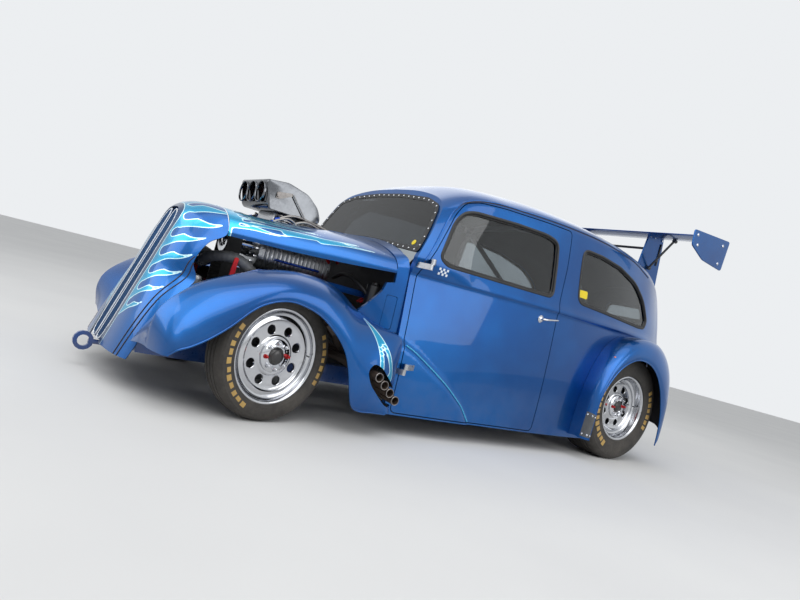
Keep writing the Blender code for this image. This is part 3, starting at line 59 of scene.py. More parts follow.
def newGroup(name, inputs, outputs):
    group = bpy.data.node_groups.new(name, "ShaderNodeTree")
    for label, kind, value in inputs:
        socket = group.interface.new_socket(label, in_out="INPUT", socket_type=kind)
        socket.default_value = value
    for label, kind in outputs:
        group.interface.new_socket(label, in_out="OUTPUT", socket_type=kind)
    return group, group.nodes.new("NodeGroupInput"), group.nodes.new("NodeGroupOutput")


def wire(tree, *pairs):
    for source, target in pairs:
        tree.links.new(source, target)


def feed(tree, socket, value):
    # A link from another socket, or a plain number or colour
    if isinstance(value, bpy.types.NodeSocket):
        tree.links.new(value, socket)
    else:
        socket.default_value = (*value, 1) if isinstance(value, tuple) else value


def setSockets(node, values):
    for label, value in values.items():
        node.inputs[label].default_value = value


def noiseNode(tree, scale, detail=3.0, rough=0.5, stretch=(1, 1, 1)):
    # Noise on Object coordinates, stretched by a Mapping node
    place = tree.nodes.new("ShaderNodeTexCoord")
    mapping = tree.nodes.new("ShaderNodeMapping")
    setSockets(mapping, {"Scale": stretch})
    noise = tree.nodes.new("ShaderNodeTexNoise")
    setSockets(noise, {"Scale": scale, "Detail": detail, "Roughness": rough})
    wire(tree, (place.outputs["Object"], mapping.inputs["Vector"]),
         (mapping.outputs["Vector"], noise.inputs["Vector"]))
    return noise


def mixColour(tree, factor, first, second):
    # Colour mix node; each side is a socket or a plain colour
    mix = tree.nodes.new("ShaderNodeMix")
    mix.data_type = "RGBA"
    for index, value in ((0, factor), (6, first), (7, second)):
        feed(tree, mix.inputs[index], value)
    return mix.outputs[2]


def rangeNode(tree, value, low, high, outLow=0.0, outHigh=1.0):
    node = tree.nodes.new("ShaderNodeMapRange")
    setSockets(node, {"From Min": low, "From Max": high, "To Min": outLow, "To Max": outHigh})
    tree.links.new(value, node.inputs["Value"])
    return node.outputs["Result"]


def mathNode(tree, operation, first, second):
    node = tree.nodes.new("ShaderNodeMath")
    node.operation = operation
    feed(tree, node.inputs[0], first)
    feed(tree, node.inputs[1], second)
    return node.outputs[0]


def makeDustGroup():
    # Road dust: thickest near the ground, broken up by noise
    group, enter, leave = newGroup("roadDust", [("Colour", "NodeSocketColor", (0.5, 0.5, 0.5, 1)),
                                                ("Amount", "NodeSocketFloat", 0.3),
                                                ("Height", "NodeSocketFloat", 0.35)],
                                   [("Colour", "NodeSocketColor"), ("Mask", "NodeSocketFloat")])
    place = group.nodes.new("ShaderNodeTexCoord")
    split = group.nodes.new("ShaderNodeSeparateXYZ")
    wire(group, (place.outputs["Object"], split.inputs[0]))
    ratio = mathNode(group, "DIVIDE", split.outputs["Z"], enter.outputs["Height"])
    low = rangeNode(group, ratio, 1.0, 0.1)
    spots = rangeNode(group, noiseNode(group, 9.0, 5.0, 0.65).outputs[0], 0.35, 0.75)
    mask = mathNode(group, "MULTIPLY", mathNode(group, "MULTIPLY", low, spots), enter.outputs["Amount"])
    colour = mixColour(group, mask, enter.outputs["Colour"], (0.16, 0.14, 0.12))
    wire(group, (colour, leave.inputs["Colour"]), (mask, leave.inputs["Mask"]))
    return group


def makeMottleGroup():
    # Slow variation of colour and roughness over a surface
    group, enter, leave = newGroup("mottle", [("Colour", "NodeSocketColor", (0.5, 0.5, 0.5, 1)),
                                              ("Second", "NodeSocketColor", (0.4, 0.4, 0.4, 1)),
                                              ("Roughness", "NodeSocketFloat", 0.4),
                                              ("Spread", "NodeSocketFloat", 0.1)],
                                   [("Colour", "NodeSocketColor"), ("Roughness", "NodeSocketFloat")])
    broad = rangeNode(group, noiseNode(group, 6.0, 4.0, 0.6).outputs[0], 0.3, 0.7)
    fine = rangeNode(group, noiseNode(group, 90.0, 3.0, 0.6).outputs[0], 0.3, 0.7, -0.5, 0.5)
    colour = mixColour(group, broad, enter.outputs["Colour"], enter.outputs["Second"])
    spread = mathNode(group, "MULTIPLY", fine, enter.outputs["Spread"])
    rough = mathNode(group, "ADD", enter.outputs["Roughness"], spread)
    wire(group, (colour, leave.inputs["Colour"]), (rough, leave.inputs["Roughness"]))
    return group


dustGroup = makeDustGroup()
mottleGroup = makeMottleGroup()


def useGroup(tree, group, **values):
    node = tree.nodes.new("ShaderNodeGroup")
    node.node_tree = group
    for label, value in values.items():
        feed(tree, node.inputs[label], value)
    return node


def newLook(name):
    look = bpy.data.materials.new(name)
    look.use_nodes = True
    return look, look.node_tree, look.node_tree.nodes["Principled BSDF"]


def bumpFrom(tree, height, strength, distance, shader):
    bump = tree.nodes.new("ShaderNodeBump")
    setSockets(bump, {"Strength": strength, "Distance": distance})
    wire(tree, (height, bump.inputs["Height"]), (bump.outputs["Normal"], shader.inputs["Normal"]))


def finish(name, colour, second, metallic, rough, spread=0.08, dust=0.0, dustHeight=0.6, grain=0.0,
           grainScale=200.0, stretch=(1, 1, 1), coat=0.0):
    # General finish: mottled colour, optional dust near the ground and optional fine grain as bump
    look, tree, shader = newLook(name)
    base = useGroup(tree, mottleGroup, Colour=colour, Second=second, Roughness=rough, Spread=spread)
    out = base.outputs["Colour"]
    if dust:
        out = useGroup(tree, dustGroup, Colour=out, Amount=dust, Height=dustHeight).outputs["Colour"]
    wire(tree, (out, shader.inputs["Base Color"]), (base.outputs["Roughness"], shader.inputs["Roughness"]))
    setSockets(shader, {"Metallic": metallic, "Coat Weight": coat})
    if grain:
        bumpFrom(tree, noiseNode(tree, grainScale, 4.0, 0.6, stretch).outputs[0], grain, 0.001, shader)
    return look


paintSettings = {"deep": (0.0002, 0.064, 0.25), "bright": (0.0002, 0.100, 0.35), "flame": (0.006, 0.26, 0.50),
                 "flameHot": (0.014, 0.37, 0.62), "line": (0.62, 0.90, 0.95), "lineWidth": 0.0024,
                 "edge": 0.0004, "band": (0.001, 0.040, 0.130)}


def makePaint(name, withFlames):
    # Candy blue over metal flake under clear coat. Pale flames where a piece carries the distance into a
    # lick, and a dark band where it carries the depth into a stripe, plus one; without them a piece reads 0
    look, tree, shader = newLook(name)
    flake = noiseNode(tree, 1400.0, 2.0, 0.8)
    broad = noiseNode(tree, 2.2, 3.0, 0.5)
    out = mixColour(tree, rangeNode(tree, broad.outputs[0], 0.35, 0.65), paintSettings["deep"],
                    paintSettings["bright"])
    if withFlames:
        field = tree.nodes.new("ShaderNodeAttribute")
        field.attribute_name = "lickDistance"
        value = field.outputs["Fac"]
        wide = paintSettings["lineWidth"]
        soft = paintSettings["edge"]
        inside = rangeNode(tree, value, -soft, soft)
        hot = rangeNode(tree, value, 0.0, 0.030, 1.0, 0.0)
        fill = mixColour(tree, hot, paintSettings["flame"], paintSettings["flameHot"])
        edge = rangeNode(tree, mathNode(tree, "ABSOLUTE", value, 0.0), wide * 0.7, wide * 1.1, 1.0, 0.0)
        out = mixColour(tree, edge, mixColour(tree, inside, out, fill), paintSettings["line"])
        stripe = tree.nodes.new("ShaderNodeAttribute")
        stripe.attribute_name = "stripeDepth"
        depth = mathNode(tree, "SUBTRACT", stripe.outputs["Fac"], 1.0)
        out = mixColour(tree, rangeNode(tree, depth, -soft, soft), out, paintSettings["band"])
        border = rangeNode(tree, mathNode(tree, "ABSOLUTE", depth, 0.0), wide * 0.7, wide * 1.1, 1.0, 0.0)
        out = mixColour(tree, border, out, paintSettings["line"])
    dusty = useGroup(tree, dustGroup, Colour=out, Amount=0.22, Height=0.42)
    wire(tree, (dusty.outputs["Colour"], shader.inputs["Base Color"]))
    rough = rangeNode(tree, flake.outputs[0], 0.3, 0.7, 0.24, 0.38)
    wire(tree, (mathNode(tree, "ADD", rough, dusty.outputs["Mask"]), shader.inputs["Roughness"]))
    setSockets(shader, {"Metallic": 0.85, "Specular IOR Level": 0.25, "Coat Weight": 0.6,
                        "Coat Roughness": 0.03})
    bumpFrom(tree, noiseNode(tree, 220.0, 2.0, 0.5).outputs[0], 0.035, 0.0006, shader)
    return look


def makeGlass(name, tint):
    look, tree, shader = newLook(name)
    smear = rangeNode(tree, noiseNode(tree, 14.0, 5.0, 0.7, (1, 1, 0.4)).outputs[0], 0.45, 0.8, 0.01, 0.10)
    shade = rangeNode(tree, noiseNode(tree, 3.0, 2.0, 0.5).outputs[0], 0.3, 0.7)
    colour = mixColour(tree, shade, tint, tuple(0.86 * c for c in tint))
    wire(tree, (smear, shader.inputs["Roughness"]), (colour, shader.inputs["Base Color"]))
    setSockets(shader, {"Transmission Weight": 1.0, "IOR": 1.45})
    return look


paintLook = makePaint("candyBlue", False)
flamePaintLook = makePaint("candyBlueFlames", True)
looks = {
    "trim": finish("blackInterior", (0.020, 0.020, 0.023), (0.035, 0.035, 0.038), 0.0, 0.75, grain=0.3,
                   grainScale=260),
    "rubber": finish("blackRubber", (0.012, 0.012, 0.013), (0.022, 0.022, 0.022), 0.0, 0.55, grain=0.15),
    # Dark brown for the seams round the nose, and for the painted shadow under the gutters
    "seam": finish("brownSeam", (0.030, 0.014, 0.008), (0.015, 0.008, 0.005), 0.0, 0.5, grain=0.1),
    "chrome": finish("brightChrome", (0.66, 0.67, 0.69), (0.58, 0.59, 0.62), 1.0, 0.06, spread=0.06),
    "polished": finish("polishedAlloy", (0.60, 0.61, 0.63), (0.50, 0.51, 0.54), 1.0, 0.13, spread=0.10,
                       dust=0.12),
    # Chrome of the scoop and its throat rims with a dark base colour: painted shade of its dark-lit look
    "smoked": finish("smokedScoop", (0.20, 0.21, 0.225), (0.12, 0.125, 0.135), 1.0, 0.17, spread=0.12,
                     dust=0.12),
    # Pale blue for the bead on the swage line: painted highlight of the raised moulding
    "paleBlue": finish("paleBlueLine", (0.05, 0.40, 0.68), (0.04, 0.33, 0.60), 0.5, 0.25, coat=0.6),
    "satin": finish("satinAlloy", (0.50, 0.51, 0.53), (0.38, 0.39, 0.41), 1.0, 0.32, spread=0.16, grain=0.2,
                    grainScale=500, stretch=(1, 12, 1)),
    "cast": finish("castMetal", (0.16, 0.165, 0.17), (0.10, 0.105, 0.11), 0.8, 0.55, spread=0.2, dust=0.3,
                   grain=0.6, grainScale=380),
    "steel": finish("bareSteel", (0.30, 0.29, 0.28), (0.20, 0.18, 0.17), 0.9, 0.42, spread=0.2, dust=0.3,
                    grain=0.2),
    "black": finish("blackEnamel", (0.012, 0.012, 0.014), (0.020, 0.020, 0.022), 0.2, 0.32, dust=0.3,
                    coat=0.4),
    "heat": finish("heatedPipe", (0.045, 0.040, 0.038), (0.085, 0.055, 0.040), 0.6, 0.55, spread=0.2,
                   dust=0.35,
                   grain=0.4, grainScale=420),
    "frameBlue": finish("frameBlue", (0.006, 0.07, 0.30), (0.004, 0.05, 0.22), 0.3, 0.30, dust=0.5, coat=0.5),
    "cage": finish("cageGrey", (0.22, 0.23, 0.25), (0.16, 0.165, 0.18), 0.3, 0.35, coat=0.3, grain=0.08),
    "grey": finish("greyHose", (0.17, 0.175, 0.18), (0.12, 0.12, 0.125), 0.0, 0.50, grain=0.4,
                   grainScale=300),
    "plate": finish("floorAlloy", (0.42, 0.43, 0.44), (0.30, 0.31, 0.32), 0.9, 0.45, spread=0.2, dust=0.4,
                    grain=0.3, grainScale=240, stretch=(1, 8, 1)),
    "tyre": finish("tyreRubber", (0.022, 0.021, 0.020), (0.040, 0.037, 0.034), 0.0, 0.82, spread=0.2,
                   dust=0.35,
                   dustHeight=0.8, grain=0.5, grainScale=420),
    "gold": finish("goldMarks", (0.52, 0.34, 0.10), (0.38, 0.24, 0.08), 0.0, 0.6, spread=0.2, grain=0.3),
    "red": finish("redAnodised", (0.55, 0.010, 0.012), (0.36, 0.008, 0.010), 0.5, 0.30, grain=0.05),
    "darkRed": finish("darkRedPlates", (0.20, 0.018, 0.016), (0.12, 0.012, 0.012), 0.5, 0.35, grain=0.1),
    "blueFitting": finish("blueAnodised", (0.01, 0.07, 0.45), (0.01, 0.04, 0.30), 0.6, 0.25, grain=0.05),
    "band": finish("grilleBlue", (0.002, 0.050, 0.150), (0.0015, 0.036, 0.115), 0.7, 0.42, dust=0.1),
    "white": finish("whiteLine", (0.80, 0.84, 0.88), (0.72, 0.76, 0.80), 0.0, 0.35, dust=0.15, coat=0.5),
    "yellow": finish("yellowPanel", (0.80, 0.62, 0.015), (0.74, 0.56, 0.015), 0.0, 0.45, grain=0.05),
    "orange": finish("orangeMarker", (0.85, 0.20, 0.03), (0.75, 0.16, 0.03), 0.0, 0.25, coat=0.6),
    "orangePanel": finish("orangePanel", (0.72, 0.10, 0.02), (0.62, 0.08, 0.02), 0.0, 0.40, grain=0.05),
    "belt": finish("driveBelt", (0.018, 0.018, 0.019), (0.030, 0.030, 0.030), 0.0, 0.7, grain=0.4,
                   grainScale=160,
                   stretch=(1, 1, 6)),
    "harness": finish("redHarness", (0.30, 0.012, 0.014), (0.22, 0.010, 0.012), 0.0, 0.8, grain=0.5,
                      grainScale=700,
                      stretch=(6, 1, 1)),
    "seatCloth": finish("seatCloth", (0.018, 0.018, 0.022), (0.030, 0.030, 0.034), 0.0, 0.85, grain=0.6,
                        grainScale=900),
    "screen": makeGlass("tintedScreen", (0.07, 0.08, 0.09)),
    "pane": makeGlass("sidePane", (0.45, 0.49, 0.51)),
}
print("finishes made")


# Making pieces

def gridFaces(nu, nv, wrapU=False, wrapV=False):
    # Quads of a grid of points, either direction closed on itself
    u = np.arange(nu if wrapU else nu - 1)[:, None]
    v = np.arange(nv if wrapV else nv - 1)[None, :]
    un = (u + 1) % nu
    vn = (v + 1) % nv
    return np.stack(np.broadcast_arrays(u * nv + v, un * nv + v, un * nv + vn, u * nv + vn),
                    axis=-1).reshape(-1, 4)


def newObject(name, data):
    thing = bpy.data.objects.new(name, data)
    bpy.context.scene.collection.objects.link(thing)
    return thing


def newPiece(name, verts, faces, materials, body, slotName, stands=(), sharp=40, faceLooks=None):
    # Piece at the origin with its place in its mesh, riding on a body
    mesh = bpy.data.meshes.new(name)
    mesh.from_pydata((np.asarray(verts, dtype=float) + shift).tolist(), [],
                     [tuple(map(int, f)) for f in faces])
    for look in materials if isinstance(materials, (list, tuple)) else [materials]:
        mesh.materials.append(look)
    if faceLooks is not None:
        mesh.polygons.foreach_set("material_index", np.asarray(faceLooks, dtype=np.int32))
    edit = bmesh.new()
    edit.from_mesh(mesh)
    bmesh.ops.remove_doubles(edit, verts=edit.verts, dist=0.00002)
    bmesh.ops.delete(edit, geom=[edge for edge in edit.edges if not edge.link_faces], context="EDGES")
    bmesh.ops.recalc_face_normals(edit, faces=edit.faces)
    edit.to_mesh(mesh)
    edit.free()
    mesh.shade_smooth()
    mesh.set_sharp_from_angle(angle=math.radians(sharp))
    piece = newObject(name, mesh)
    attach(piece, body)
    if stands:
        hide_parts(*stands)
    return piece


def newPanel(name, shape, stands, body="chassis", look=paintLook, sharp=32):
    # Painted body panel, dark inside
    verts, faces, marks = shape
    return newPiece(name, verts, faces, [look, looks["trim"]], body, "body", [stands], sharp, marks)


def addParts(name, shapes, look, slotName):
    # Several shapes on the chassis as one piece of a plain finish
    newPiece(name, *joinShapes(shapes), looks[look], "chassis", slotName)


def roundEdges(piece, width):
    rounding = piece.modifiers.new("Rounding", "BEVEL")
    rounding.width = width
    rounding.segments = 3


def joinShapes(shapes):
    # Several (verts, faces) shapes as one
    verts = []
    faces = []
    count = 0
    for points, quads in shapes:
        points = np.asarray(points, dtype=float)
        verts.append(points)
        faces += [tuple(int(k) + count for k in quad) for quad in quads]
        count += len(points)
    return np.concatenate(verts), faces


def loopsShape(loops):
    # Closed loops joined end to end, both ends filled
    loops = np.asarray(loops)
    count = loops.shape[1]
    total = len(loops) * count
    faces = gridFaces(len(loops), count, False, True).tolist()
    return loops.reshape(-1, 3), faces + [tuple(range(count))[::-1], tuple(range(total - count, total))]


def ringShape(loops):
    # Closed loops joined end to end, the last one to the first
    return loops.reshape(-1, 3), gridFaces(*loops.shape[:2], True, True).tolist()


def shellShape(outer, inner):
    # Closed wall between two grids; returns its points, faces and 1 for each inner face
    nu, nv = outer.shape[:2]
    count = nu * nv
    quads = gridFaces(nu, nv)
    index = np.arange(count).reshape(nu, nv)
    edge = np.concatenate([index[0], index[1:, -1], index[-1, -2::-1], index[-2:0:-1, 0]])
    after = np.roll(edge, -1)
    rim = np.stack([edge, after, after + count, edge + count], axis=-1)
    faces = np.concatenate([quads, quads[:, ::-1] + count, rim])
    marks = np.concatenate([np.zeros(len(quads)), np.ones(len(quads)), np.zeros(len(rim))])
    return np.concatenate([outer.reshape(-1, 3), inner.reshape(-1, 3)]), faces, marks


def thickened(grid, depth, side):
    # Shell whose inner grid is moved along the surface normal, away from the outside
    normal = np.cross(np.gradient(grid, axis=0), np.gradient(grid, axis=1))
    if (normal * (grid - np.array(side))).sum() < 0:
        normal = -normal
    normal /= np.linalg.norm(normal, axis=2, keepdims=True) + 1e-12
    return shellShape(grid, grid - normal * depth)


def tubeShape(path, radius, sides=12, closed=False, flat=1.0):
    # Circle of the given radius carried along a path, its frame turned with the path
    path = np.asarray(path, dtype=float)
    if closed:
        tangent = np.roll(path, -1, axis=0) - np.roll(path, 1, axis=0)
    else:
        tangent = np.gradient(path, axis=0)
    tangent /= np.linalg.norm(tangent, axis=1)[:, None] + 1e-12
    guide = np.array((0.31, 0.17, 0.93))
    if abs(tangent @ guide).max() > 0.97:
        guide = np.array((0.93, -0.21, 0.3))
    side = np.cross(tangent, guide)
    side /= np.linalg.norm(side, axis=1)[:, None]
    other = np.cross(tangent, side)
    turn = np.arange(sides) * 2 * math.pi / sides
    radii = np.broadcast_to(radius, len(path))[:, None, None]
    ring = np.cos(turn)[None, :, None] * side[:, None] + flat * np.sin(turn)[None, :, None] * other[:, None]
    loops = path[:, None] + radii * ring
    return ringShape(loops) if closed else loopsShape(loops)


def spunLoops(profile, centre, axis, sides):
    # One loop for each point (along, radius) of a profile spun about a line through the centre
    profile = np.asarray(profile, dtype=float)
    others = [k for k in range(3) if k != axis]
    turn = np.arange(sides) * 2 * math.pi / sides
    loops = np.zeros((len(profile), sides, 3))
    loops[:, :, axis] = profile[:, :1]
    loops[:, :, others[0]] = profile[:, 1:] * np.cos(turn)
    loops[:, :, others[1]] = profile[:, 1:] * np.sin(turn)
    return loops + np.array(centre)


def turnedShape(profile, centre, axis=0, sides=64):
    # Ring whose section is a closed profile
    return ringShape(spunLoops(profile, centre, axis, sides).transpose(1, 0, 2))


def knobShape(profile, centre, axis=0, sides=16):
    # Solid with flat ends from an open profile
    return loopsShape(spunLoops(profile, centre, axis, sides))


def prismShape(outline, axis, start, end):
    # Flat outline pushed along X, Y or Z; its points name the other two axes in order
    loops = np.zeros((2, len(outline), 3))
    loops[:, :, [k for k in range(3) if k != axis]] = np.asarray(outline, dtype=float)
    loops[0, :, axis] = start
    loops[1, :, axis] = end
    return loopsShape(loops)


def frameTool(outline, axis, start, end):
    # Solid with a hole of the given outline through it, for trimming a skin to that outline
    outline = resample(outline, .010, True)
    middle = outline.mean(axis=0)
    others = [k for k in range(3) if k != axis]
    loops = np.zeros((4, len(outline), 3))
    for loop, scale, along in zip(loops, (1, 1, 2.6, 2.6), (start, end, end, start)):
        loop[:, others] = middle + (outline - middle) * scale
        loop[:, axis] = along
    return ringShape(loops)


def spanOf(turn, near, far):
    # Two distances from the middle as low and high X on the side that turn names
    return sorted((near * turn, far * turn))


def softBox(low, high, radius=0.004, steps=3):
    # Box with its upright edges rounded and its two ends drawn in
    outline = roundCorners([(low[0], low[1]), (high[0], low[1]), (high[0], high[1]), (low[0], high[1])],
                           radius * 1.5, steps)
    outline = np.array(outline)
    centre = outline.mean(axis=0)
    inset = 1 - 2 * radius / np.maximum(np.ptp(outline, axis=0), 3 * radius)
    levels = [(low[2], inset), (low[2] + radius * .3, 1 - (1 - inset) * .3), (low[2] + radius, np.ones(2)),
              (high[2] - radius, np.ones(2)), (high[2] - radius * .3, 1 - (1 - inset) * .3), (high[2], inset)]
    return loopsShape([np.column_stack([centre + (outline - centre) * scale, np.full(len(outline), z)])
                       for z, scale in levels])


def roundCorners(points, radius, steps=6):
    # Sharper corners of an outline replaced by parabolic arcs
    points = [Vector(p) for p in points]
    result = []
    for k, corner in enumerate(points):
        before = points[k - 1] - corner
        after = points[(k + 1) % len(points)] - corner
        if before.angle(after) > math.radians(170):
            result.append(tuple(corner))
            continue
        reach = min(radius, before.length * 0.45, after.length * 0.45)
        start = corner + before.normalized() * reach
        end = corner + after.normalized() * reach
        for j in range(steps + 1):
            t = j / steps
            result.append(tuple(start * (1 - t) ** 2 + corner * 2 * t * (1 - t) + end * t ** 2))
    return result


def resample(points, step, closed=False):
    # Points evenly spaced along a polyline
    points = np.asarray(points, dtype=float)
    if closed:
        points = np.vstack([points, points[:1]])
    length = np.concatenate([[0], np.cumsum(np.linalg.norm(np.diff(points, axis=0), axis=1))])
    count = max(int(length[-1] / step), 3)
    at = np.linspace(0, length[-1], count + 1)
    if closed:
        at = at[:-1]
    return np.stack([np.interp(at, length, points[:, k]) for k in range(points.shape[1])], axis=1)


def smoothPath(points, step=0.008):
    # Curve through the given points, evenly resampled
    points = np.asarray(points, dtype=float)
    padded = np.vstack([2 * points[0] - points[1], points, 2 * points[-1] - points[-2]])
    t = np.linspace(0, 1, 12, endpoint=False)[:, None]
    parts = []
    for a, b, c, d in zip(padded[:-3], padded[1:-2], padded[2:-1], padded[3:]):
        parts.append(0.5 * (2 * b + (c - a) * t + (2 * a - 5 * b + 4 * c - d) * t ** 2
                            + (3 * b - a - 3 * c + d) * t ** 3))
    return resample(np.vstack(parts + [points[-1:]]), step)


def curve(knots, values, at, steady=False):
    # Smooth curve through table rows; steady limits the slopes so that it does not overshoot
    knots = np.array(knots, dtype=float)
    values = np.array(values, dtype=float)
    slope = np.gradient(values, knots, axis=0)
    if steady:
        rise = np.diff(values, axis=0)
        rise = np.stack([np.concatenate([rise[:1], rise]), np.concatenate([rise, rise[-1:]])])
        most = np.where(rise[0] * rise[1] > 0, 2.5 * abs(rise).min(axis=0), 0)
        slope = np.clip(slope, -most, most)
    at = np.clip(np.atleast_1d(at), knots[0], knots[-1])
    k = np.clip(np.searchsorted(knots, at, side="right") - 1, 0, len(knots) - 2)
    span = knots[k + 1] - knots[k]
    form = (-1,) + (1,) * (values.ndim - 1)
    t = ((at - knots[k]) / span).reshape(form)
    span = span.reshape(form)
    return ((1 + 2 * t) * (1 - t) ** 2 * values[k] + t * (1 - t) ** 2 * span * slope[k]
            + t ** 2 * (3 - 2 * t) * values[k + 1] + t ** 2 * (t - 1) * span * slope[k + 1])


def carve(piece, shapes):
    # Cut solid shapes out of a piece, then store the result in its own mesh
    tools = []
    for points, faces in shapes:
        mesh = bpy.data.meshes.new("tool")
        mesh.from_pydata((np.asarray(points) + shift).tolist(), [], [tuple(map(int, f)) for f in faces])
        edit = bmesh.new()
        edit.from_mesh(mesh)
        bmesh.ops.recalc_face_normals(edit, faces=edit.faces)
        edit.to_mesh(mesh)
        edit.free()
        tools.append(newObject("tool", mesh))
        step = piece.modifiers.new("Carve", "BOOLEAN")
        step.operation = "DIFFERENCE"
        step.solver = "EXACT"
        step.object = tools[-1]
    bpy.context.view_layer.update()
    result = bpy.data.meshes.new_from_object(piece.evaluated_get(bpy.context.evaluated_depsgraph_get()))
    piece.modifiers.clear()
    old = piece.data
    piece.data = result
    bpy.data.meshes.remove(old)
    for tool in tools:
        mesh = tool.data
        bpy.data.objects.remove(tool, do_unlink=True)
        bpy.data.meshes.remove(mesh)
    result.shade_smooth()
    result.set_sharp_from_angle(angle=math.radians(32))
    return piece


def newField(piece, values, name="lickDistance"):
    # Distances kept on the points of a piece, for its paint to read
    store = piece.data.attributes.new(name, "FLOAT", "POINT")
    store.data.foreach_set("value", np.asarray(values, dtype=np.float32))


def pointsOf(piece):
    points = np.zeros(len(piece.data.vertices) * 3)
    piece.data.vertices.foreach_get("co", points)
    return points.reshape(-1, 3) - shift


def flameField(u, v, base, licks, drops, soft=0.006):
    # Signed distance: base band and licks made of shrinking discs, joined softly, less the drops
    t = np.linspace(0, 1, 40)

    def lickField(u0, v0, length, rise, width, bend):
        cu = u0 + length * t
        cv = v0 + rise * t + bend * np.sin(2 * math.pi * t) * t
        radius = width * (1 - t) ** 0.65 * (0.75 + 0.25 * np.cos(3 * t)) - 0.0004
        return (radius - np.hypot(u[:, None] - cu, v[:, None] - cv)).max(axis=1)

    fields = [base - u] + [lickField(*lick) for lick in licks]
    total = soft * np.logaddexp.reduce([np.clip(f / soft, -400, 400) for f in fields], axis=0)
    for drop in drops:
        total = np.minimum(total, -lickField(*drop))
    return total


# Cabin: half sections (x, z) at each distance back, from the sill up to the centre of the roof

cabinTable = {
    0.62: [(.625, .105), (.622, .300), (.602, .550), (.574, .795), (.582, .822), (.598, .885),
           (.585, 1.000), (.560, 1.090), (.525, 1.130), (.440, 1.155), (.240, 1.170), (0, 1.175)],
    0.80: [(.632, .105), (.628, .300), (.612, .550), (.585, .797), (.592, .824), (.602, .890),
           (.585, 1.040), (.557, 1.155), (.530, 1.200), (.440, 1.245), (.240, 1.275), (0, 1.283)],
    0.95: [(.638, .105), (.635, .300), (.620, .550), (.595, .800), (.602, .826), (.606, .895),
           (.588, 1.060), (.562, 1.215), (.537, 1.272), (.445, 1.315), (.245, 1.345), (0, 1.352)],
    1.30: [(.645, .105), (.645, .300), (.635, .550), (.615, .805), (.620, .832), (.610, .900),
           (.592, 1.075), (.570, 1.255), (.547, 1.325), (.450, 1.375), (.250, 1.413), (0, 1.428)],
    1.75: [(.650, .105), (.652, .300), (.645, .550), (.630, .810), (.637, .838), (.618, .905),
           (.602, 1.080), (.583, 1.270), (.560, 1.350), (.460, 1.400), (.260, 1.437), (0, 1.457)],
    2.20: [(.640, .110), (.642, .300), (.635, .550), (.612, .812), (.620, .840), (.600, .905),
           (.585, 1.075), (.566, 1.265), (.545, 1.345), (.440, 1.395), (.250, 1.435), (0, 1.455)],
    2.55: [(.600, .120), (.605, .310), (.600, .550), (.575, .810), (.582, .840), (.562, .900),
           (.545, 1.060), (.525, 1.235), (.505, 1.315), (.410, 1.372), (.235, 1.415), (0, 1.437)],
    2.80: [(.535, .140), (.550, .320), (.550, .550), (.535, .805), (.540, .832), (.523, .890),
           (.505, 1.035), (.480, 1.190), (.455, 1.270), (.375, 1.340), (.220, 1.392), (0, 1.413)],
    3.00: [(.455, .160), (.475, .330), (.485, .550), (.475, .800), (.478, .825), (.465, .880),
           (.440, 1.005), (.410, 1.135), (.385, 1.210), (.310, 1.290), (.185, 1.350), (0, 1.372)],
    3.13: [(.385, .180), (.410, .340), (.425, .550), (.420, .790), (.421, .815), (.410, .860),
           (.385, .965), (.350, 1.080), (.322, 1.145), (.260, 1.225), (.155, 1.275), (0, 1.298)],
    3.20: [(.330, .200), (.355, .350), (.370, .550), (.365, .780), (.366, .800), (.355, .840),
           (.330, .930), (.295, 1.025), (.270, 1.080), (.215, 1.150), (.125, 1.198), (0, 1.213)],
}
cabin = {"start": 0.650, "split": 2.960, "roofRow": 8.5, "wall": 0.030, "swageStep": 0.018, "doorGap": 0.005,
         "glassDepth": 0.010, "tailCentre": 0.66, "tailEnd": 3.20, "tailBulge": 0.050, "archRadius": 0.405,
         "archHeight": 0.350}
screenSettings = {"foot": 0.665, "footHeight": 0.93, "lean": 0.41, "low": 0.912, "pane": 0.005,
                  "border": 0.026}
noseSettings = {"front": -0.575, "low": 0.14, "lean": 0.2935}
swageLine = [(.386, .540), (.503, .514), (.600, .493), (.782, .418), (.990, .301), (1.131, .200),
             (1.216, .103)]
doorOutline = roundCorners([(.690, .118), (.690, .815), (.757, .947), (.800, 1.050), (.850, 1.165),
                            (.905, 1.240), (.999, 1.272), (1.186, 1.293), (1.517, 1.312), (1.728, 1.318),
                            (1.738, 1.10), (1.722, .840), (1.722, .118)], 0.03)
doorWindow = roundCorners([(.790, .925), (.812, 1.010), (.846, 1.125), (.900, 1.190), (.970, 1.213),
                           (1.278, 1.238), (1.532, 1.246), (1.628, 1.225), (1.645, 1.100), (1.662, .905),
                           (.845, .893)], 0.05)
quarterWindow = roundCorners([(1.895, .925), (1.872, 1.100), (1.862, 1.250), (2.060, 1.252), (2.280, 1.235),
                              (2.520, 1.180), (2.670, 1.090), (2.765, .960), (2.740, .905), (2.640, .900)],
                             0.06)
bootOutline = roundCorners([(-.270, .350), (-.270, .800), (.270, .800), (.270, .350)], 0.06)
rearWindow = roundCorners([(-.185, .985), (-.150, 1.100), (.150, 1.100), (.185, .985)], 0.04)
sideRows = np.concatenate([np.linspace(0, 2.9, 46), np.linspace(3, 5.2, 20), np.linspace(5.4, 8.5, 22)])


